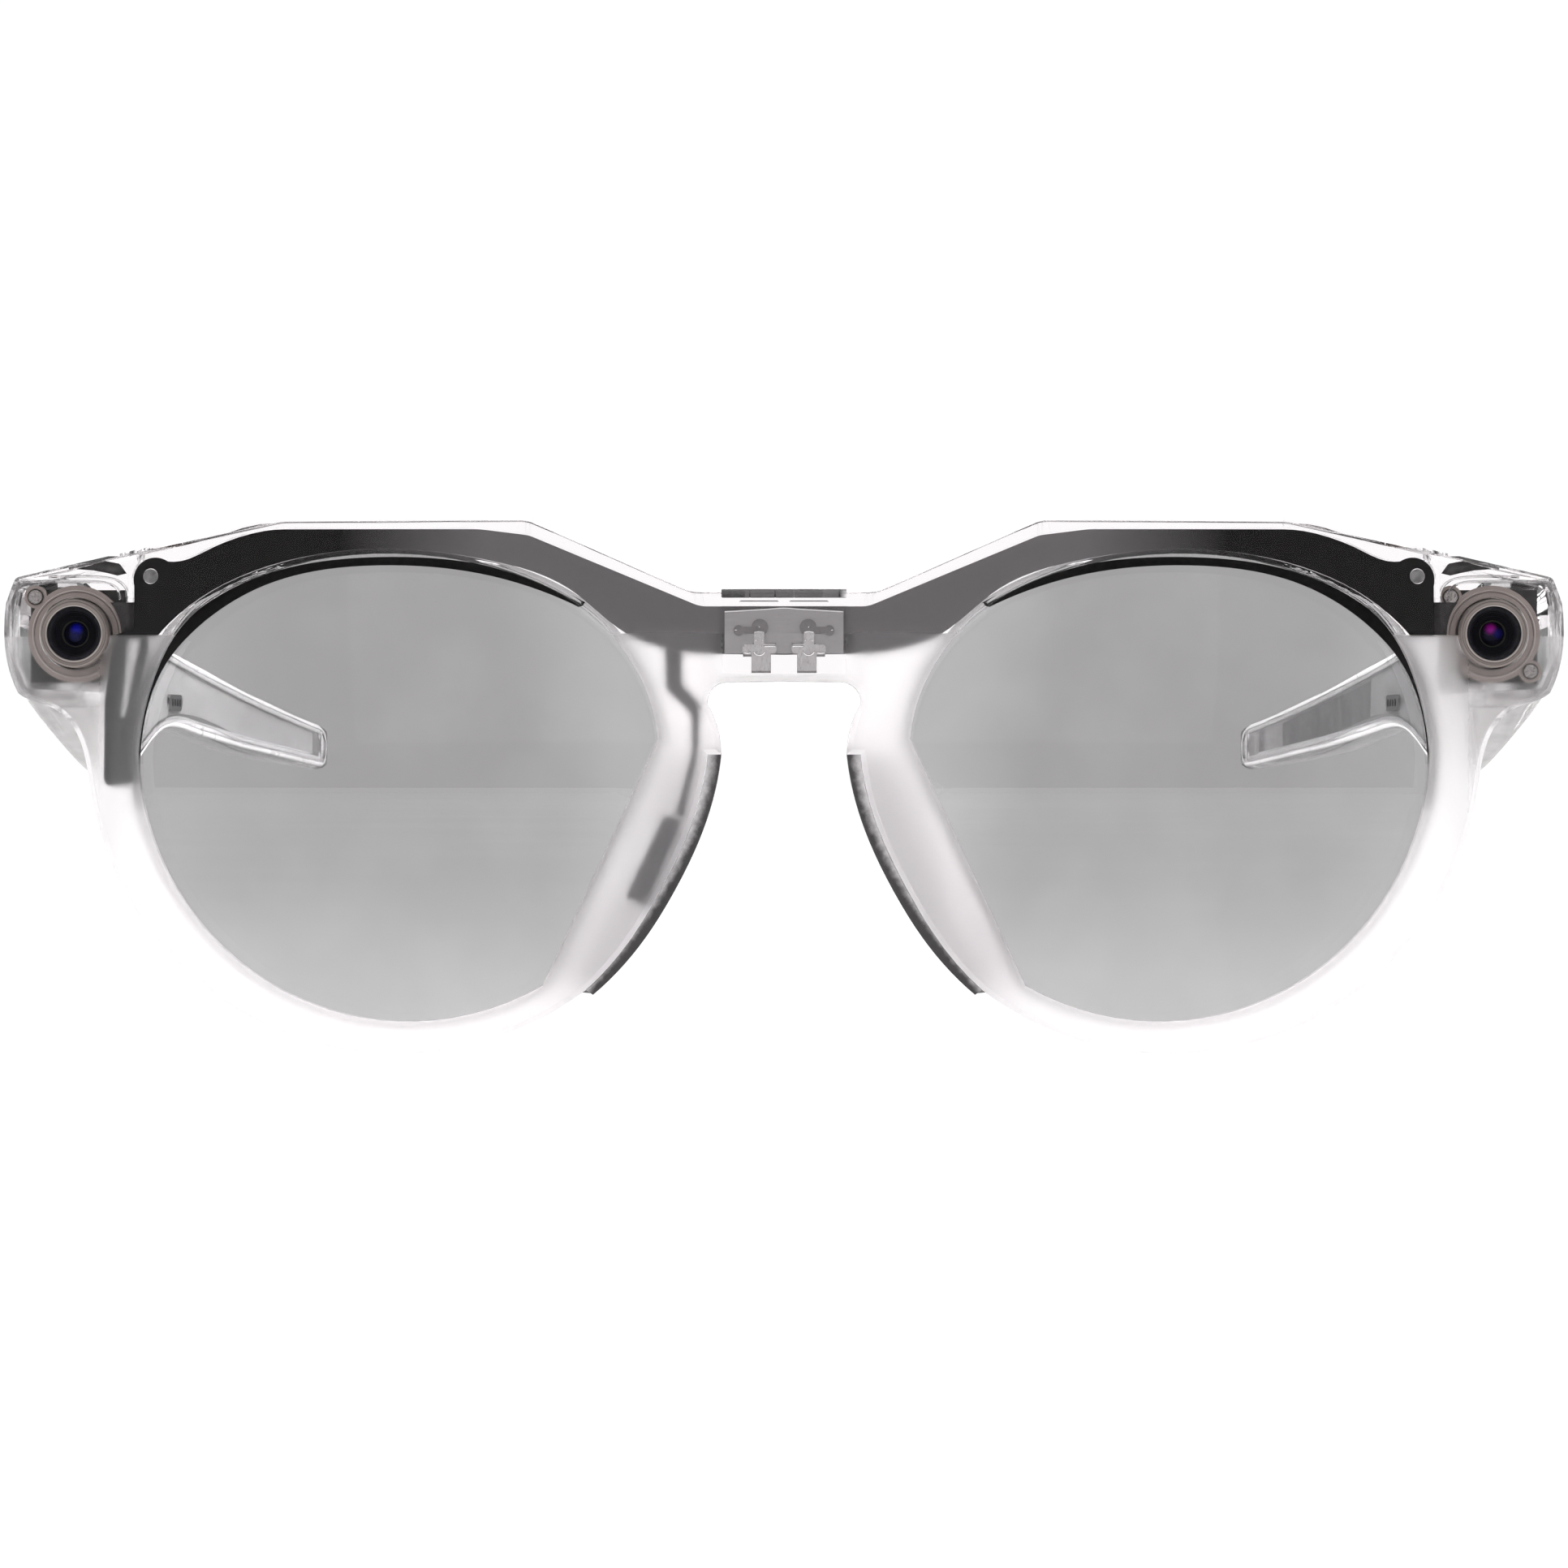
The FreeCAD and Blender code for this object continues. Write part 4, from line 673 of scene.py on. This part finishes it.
# ---------------------------------------------------------------- bridge
def bridge_details():
    """White bar painted in as the highlight on the plate's lip, the dashes, the face of the strip,
    the contact springs' leaves, and steel bars painted in as their highlights.
    """
    # painted highlight: a white bar along the plate's top edge
    bm = bmesh.new()
    lip = [(-5.6, 16.38), (-3.4, 16.50), (-1.4, 16.62), (-0.5, 16.70), (0, 16.72), (0.5, 16.70),
           (1.4, 16.62), (3.4, 16.50), (5.6, 16.38)]
    add_bar(bm, [(x, wrapped(x, 0.66), z) for x, z in lip], 0.055)
    piece("bridge_plate_lip_highlight", bm, "front", highlight_and_print_white)

    bm = bmesh.new()
    for side in (-1, 1):
        dash = [(0.5, 17.34), (0.62, 17.46), (4.1, 17.46), (4.28, 17.34)]
        add_plate(bm, flipped(dash, side), 0.9, 1.1)
    piece("bridge_dashes", bm, "front", dash_grey, smooth=False)

    bm = bmesh.new()
    add_plate(bm, round_rect(-STRIP_HALF, STRIP_HALF, 17.74, 18.37, 0.08), 0.715, 0.745)
    piece("bridge_strip_face", bm, "front", strip_face, smooth=False)

    for side, name in SIDES:
        bm = bmesh.new()
        for outline, lift in ((round_rect(1.88, 2.86, 13.3, 14.5, 0.12), 0.0),
                              (round_rect(1.62, 3.04, 12.12, 13.52, 0.68), 0.004),
                              (round_rect(0.70, 2.2, 12.4, 13.32, 0.3), 0.008),
                              (round_rect(2.5, 3.98, 12.3, 13.28, 0.32), 0.012),
                              (round_rect(1.28, 3.10, 10.75, 12.45, 0.12), 0.016)):
            add_plate(bm, flipped(outline, side), 0.462 + lift, 0.492 + lift)
        piece(name + "contact_leaf", bm, "front", leaf_steel, smooth=False)
        # painted highlights: bright steel bars where the springs catch the light
        bm = bmesh.new()
        arc = arc_points((2.34, 12.80), 0.58, range(205, 340, 12))
        for path, r in (([(0.82, 13.08), (1.3, 13.1), (1.85, 13.08)], 0.085),
                        (arc, 0.075),
                        ([(3.15, 12.46), (3.5, 12.42), (3.85, 12.5)], 0.085),
                        ([(1.95, 14.42), (2.34, 14.5), (2.78, 14.42)], 0.05),
                        ([(2.32, 14.88), (2.36, 14.95)], 0.06),
                        ([(1.98, 13.62), (2.06, 13.72)], 0.07),
                        ([(2.62, 13.72), (2.7, 13.62)], 0.07),
                        ([(4.5, 14.62), (4.66, 14.64)], 0.05)):
            add_bar(bm, [(x, wrapped(x, 0.47), z) for x, z in flipped(path, side)], r)
        piece(name + "contact_highlights", bm, "front", polished)


# ---------------------------------------------------------------- temples
# Tables of (y, value): the upper and lower edge, the inner face and the thickness of a temple.
TOP_Z = [(17.8, 19.8), (35.0, 17.6), (60.0, 14.4), (100.0, 10.9), (130.0, 8.5), (148.7, 7.0)]
BOTTOM_Z = [(17.8, 8.2), (26.0, 3.7), (34.0, 1.3), (44.0, 2.3), (52.0, 4.5), (62.0, 5.8),
            (100.0, 3.9), (130.0, 2.6), (148.7, 1.7)]
INNER_X = [(17.8, 67.6), (34.0, 66.7), (60.0, 64.7), (100.0, 61.1), (130.0, 57.9), (148.7, 55.4)]
TEMPLE_T = [(17.8, 7.1), (34.0, 6.5), (60.0, 5.6), (100.0, 4.8), (130.0, 4.2), (148.7, 3.4)]

# The sloped face under the pod: its upper edge, and how far it comes in and down from there.
SLOPE_X, SLOPE_Z, SLOPE_RUN, SLOPE_RISE = 74.6, 9.2, 4.4, 7.4
LINES_X = 74.72               # the printed lines lie a little outside the lining


def slope_x(z, start=SLOPE_X):
    return start - (SLOPE_Z - z) * SLOPE_RUN / SLOPE_RISE


def slope_z(x):
    return SLOPE_Z - (SLOPE_X - x) * SLOPE_RISE / SLOPE_RUN


def edge_highlight_bars(bm, rim_point):
    """White bars painted in as the bright edge highlights of a temple: a bar all round it, one
    inside each long edge, and a cap.
    """
    top = [rim_point(y, line_at(TOP_Z, y) - 0.55)
           for y in (29.5, 35, 47, 60, 80, 100, 115, 130, 140, 144.5)]
    tip = [rim_point(146.9, 5.9), rim_point(147.6, 4.4), rim_point(146.9, 2.9)]
    low = [rim_point(y, line_at(BOTTOM_Z, y) + 0.55)
           for y in (144.5, 130, 115, 100, 80, 62, 52, 44, 37)]
    add_bar(bm, smooth_path(top + tip + low, 5), 0.30)
    # (table, y and distance from the edge where a bar starts, and the same where it ends)
    for table, y0, z0, y1, z1 in ((TOP_Z, 33.0, -1.25, 144.0, -1.05),
                                  (BOTTOM_Z, 44.0, 1.25, 144.0, 1.1)):
        line = []
        for k in range(10):
            y = y0 + (y1 - y0) * k / 9
            line.append(rim_point(y, line_at(table, y) + z0 + (z1 - z0) * k / 9, 0.5))
        add_bar(bm, smooth_path(line, 4), 0.28)
    cap = [rim_point(144.6, 6.2, 1.2), rim_point(146.4, 4.6, 1.5), rim_point(144.6, 3.0, 1.2)]
    add_bar(bm, smooth_path(cap, 6), 0.8)


def lining_grid(bm, side):
    """Lining of the sloped face: three points up the slope at each y where the slope is there."""
    rows = []
    for y in (19.5, 22, 24, 26, 28, 30, 32, 34, 36, 38, 40, 42, 44, 47, 50):
        low_z = line_at(BOTTOM_Z, y) + 0.55
        high_z = slope_z(line_at(INNER_X, y) + line_at(TEMPLE_T, y) - 0.5)
        if high_z > low_z + 0.2:
            heights = (low_z, (low_z + high_z) / 2, high_z)
            rows.append([bm.verts.new(at(side * slope_x(z), y, z)) for z in heights])
    for here, there in zip(rows, rows[1:]):
        for k in range(2):
            bm.faces.new((here[k], here[k + 1], there[k + 1], there[k]))


def temple_details(side, name):
    """Painted edge highlights, lining and printed lines; returns what the edge lamps light."""
    body = name + "temple"

    def rim_point(y, z, inset=0.45):
        return (side * (line_at(INNER_X, y) + inset), y, z)

    bm = bmesh.new()
    edge_highlight_bars(bm, rim_point)
    edge = piece(name + "temple_edge_highlight", bm, body, highlight_and_print_white)
    # a thinner white bar inside the lower edge: a painted highlight
    bm = bmesh.new()
    second = [rim_point(y, line_at(BOTTOM_Z, y) + 1.5, 0.9)
              for y in (139, 130, 115, 100, 80, 66, 58)]
    add_bar(bm, smooth_path(second, 5), 0.12)
    inner = piece(name + "temple_inner_highlight", bm, body, highlight_and_print_white)
    bm = bmesh.new()
    lining_grid(bm, side)
    lining = piece(name + "temple_liner", bm, body, liner_grey)
    lining.modifiers.new("thickness", "SOLIDIFY").thickness = 0.1 * MM
    bm = bmesh.new()
    for line in (((24, 6.9), (27, 5.6), (30, 5.6), (33, 4.1)), ((28, 7.3), (31, 6.4), (34, 6.4)),
                 ((26, 5.2), (29, 4.2)), ((35, 5.6), (38, 4.5), (42, 4.5)), ((33, 3.3), (37, 3.2))):
        add_bar(bm, [(side * slope_x(z, LINES_X), y, z) for y, z in line], 0.07, 6)
    marks = piece(name + "temple_printed_lines", bm, body, highlight_and_print_white)
    return [edge, inner, lining, marks, nodes[name + "inner_panel"]]


lit = []
for side, name in SIDES:
    camera_details(side, name)
    pod_details(side, name)
    lit += temple_details(side, name)
bridge_details()


# ---------------------------------------------------------------- floor, light and camera
def make_floor():
    """White floor, mostly lit from itself so that no line shows beside the glasses."""
    bm = bmesh.new()
    bmesh.ops.create_grid(bm, x_segments=8, y_segments=8, size=14.0)
    mesh = bpy.data.meshes.new("floor")
    bm.to_mesh(mesh)
    bm.free()
    floor = bpy.data.objects.new("floor", mesh)
    floor.location = (0.0, 0.0, -0.00005)
    scene.collection.objects.link(floor)
    f = Finish("floor_white", (0.5, 0.5, 0.5), 0.9)
    f.colour_grain((0.48, 0.48, 0.48), (0.52, 0.52, 0.52), 400.0)
    f.set("Specular IOR Level", 0.0)
    f.set("Emission Color", (1.0, 1.0, 1.0, 1.0))
    f.set("Emission Strength", 0.82)
    mesh.materials.append(f.mat)


def make_light(name, place, target, size, power, glossy=True, only=()):
    """Area lamp that points at target; with only, it lights nothing but those pieces."""
    lamp = bpy.data.lights.new(name, "AREA")
    lamp.shape = "RECTANGLE"
    lamp.size, lamp.size_y = size
    lamp.energy = power
    made = bpy.data.objects.new(name, lamp)
    made.location = place
    made.rotation_euler = (Vector(target) - Vector(place)).to_track_quat("-Z", "Y").to_euler()
    made.visible_glossy = glossy
    scene.collection.objects.link(made)
    if only:
        group = bpy.data.collections.new(name + "_receivers")
        for target_piece in only:
            group.objects.link(target_piece)
        made.light_linking.receiver_collection = group


def make_world():
    """White to the camera, dark from above and below through clear plastic, dim in reflections."""
    world = bpy.data.worlds.new("studio")
    world.use_nodes = True
    tree = world.node_tree
    tree.nodes.clear()

    def add(kind, inputs=(), **attributes):
        made = tree.nodes.new(kind)
        for key, value in attributes.items():
            setattr(made, key, value)
        for key, value in dict(inputs).items():
            if hasattr(value, "is_linked"):
                tree.links.new(value, made.inputs[key])
            else:
                made.inputs[key].default_value = value
        return made.outputs

    direction = add("ShaderNodeTexCoord")["Generated"]
    split = add("ShaderNodeSeparateXYZ", {0: direction})
    path = add("ShaderNodeLightPath")
    height = add("ShaderNodeMath", {0: split["Z"]}, operation="ABSOLUTE")[0]
    through = add("ShaderNodeMapRange", {0: height, 1: 0.40, 2: 0.74, 3: 1.02, 4: 0.12},
                  interpolation_type="SMOOTHSTEP")[0]
    side = add("ShaderNodeMapRange", {0: split["Y"], 1: -0.9, 2: -0.2, 3: 0.05, 4: 0.8})[0]
    lift = add("ShaderNodeMapRange", {0: split["Z"], 1: 0.0, 2: 0.9, 3: 0.5, 4: 1.1})[0]
    around = add("ShaderNodeMath", {0: side, 1: lift}, operation="MULTIPLY")[0]
    level = around
    for ray, brightness in (("Is Transmission Ray", through), ("Is Diffuse Ray", 0.45),
                            ("Is Camera Ray", 1.02)):
        level = add("ShaderNodeMix", {0: path[ray], 2: level, 3: brightness}, data_type="FLOAT")[0]
    back = add("ShaderNodeBackground", {"Color": (1.0, 1.0, 1.0, 1.0), "Strength": level})[0]
    out = tree.nodes.new("ShaderNodeOutputWorld")
    tree.links.new(back, out.inputs["Surface"])
    scene.world = world


def make_camera():
    data = bpy.data.cameras.new("camera")
    data.lens = 128.1
    data.sensor_width = 36.0
    data.clip_start = 0.01
    made = bpy.data.objects.new("camera", data)
    made.location = (0.0, -0.60435, 0.02577)
    made.rotation_euler = (math.radians(90.0), 0.0, 0.0)
    scene.collection.objects.link(made)
    scene.camera = made


make_floor()
make_light("overhead", (0.0, -0.05, 0.75), (0.0, 0.0, 0.03), (1.1, 0.9), 0.9)
make_light("key", (-0.75, -0.45, 0.55), (0.0, -0.03, 0.03), (0.5, 0.6), 0.7)
make_light("fill", (0.8, -0.35, 0.45), (0.0, -0.03, 0.03), (0.5, 0.6), 0.5)
make_light("front", (0.0, -0.95, 0.35), (0.0, -0.05, 0.03), (0.9, 0.5), 1.2, glossy=False)
for side, name in SIDES:
    make_light("edge_" + name[:-1], (side * -0.10, -0.10, 0.12), (side * 0.066, 0.02, 0.034),
               (0.12, 0.12), 1.9, glossy=False, only=lit)
make_world()
make_camera()
scene.view_settings.view_transform = "Standard"
scene.cycles.max_bounces = 24
scene.cycles.transmission_bounces = 20
scene.cycles.transparent_max_bounces = 24
scene.cycles.glossy_bounces = 6
scene.cycles.diffuse_bounces = 3
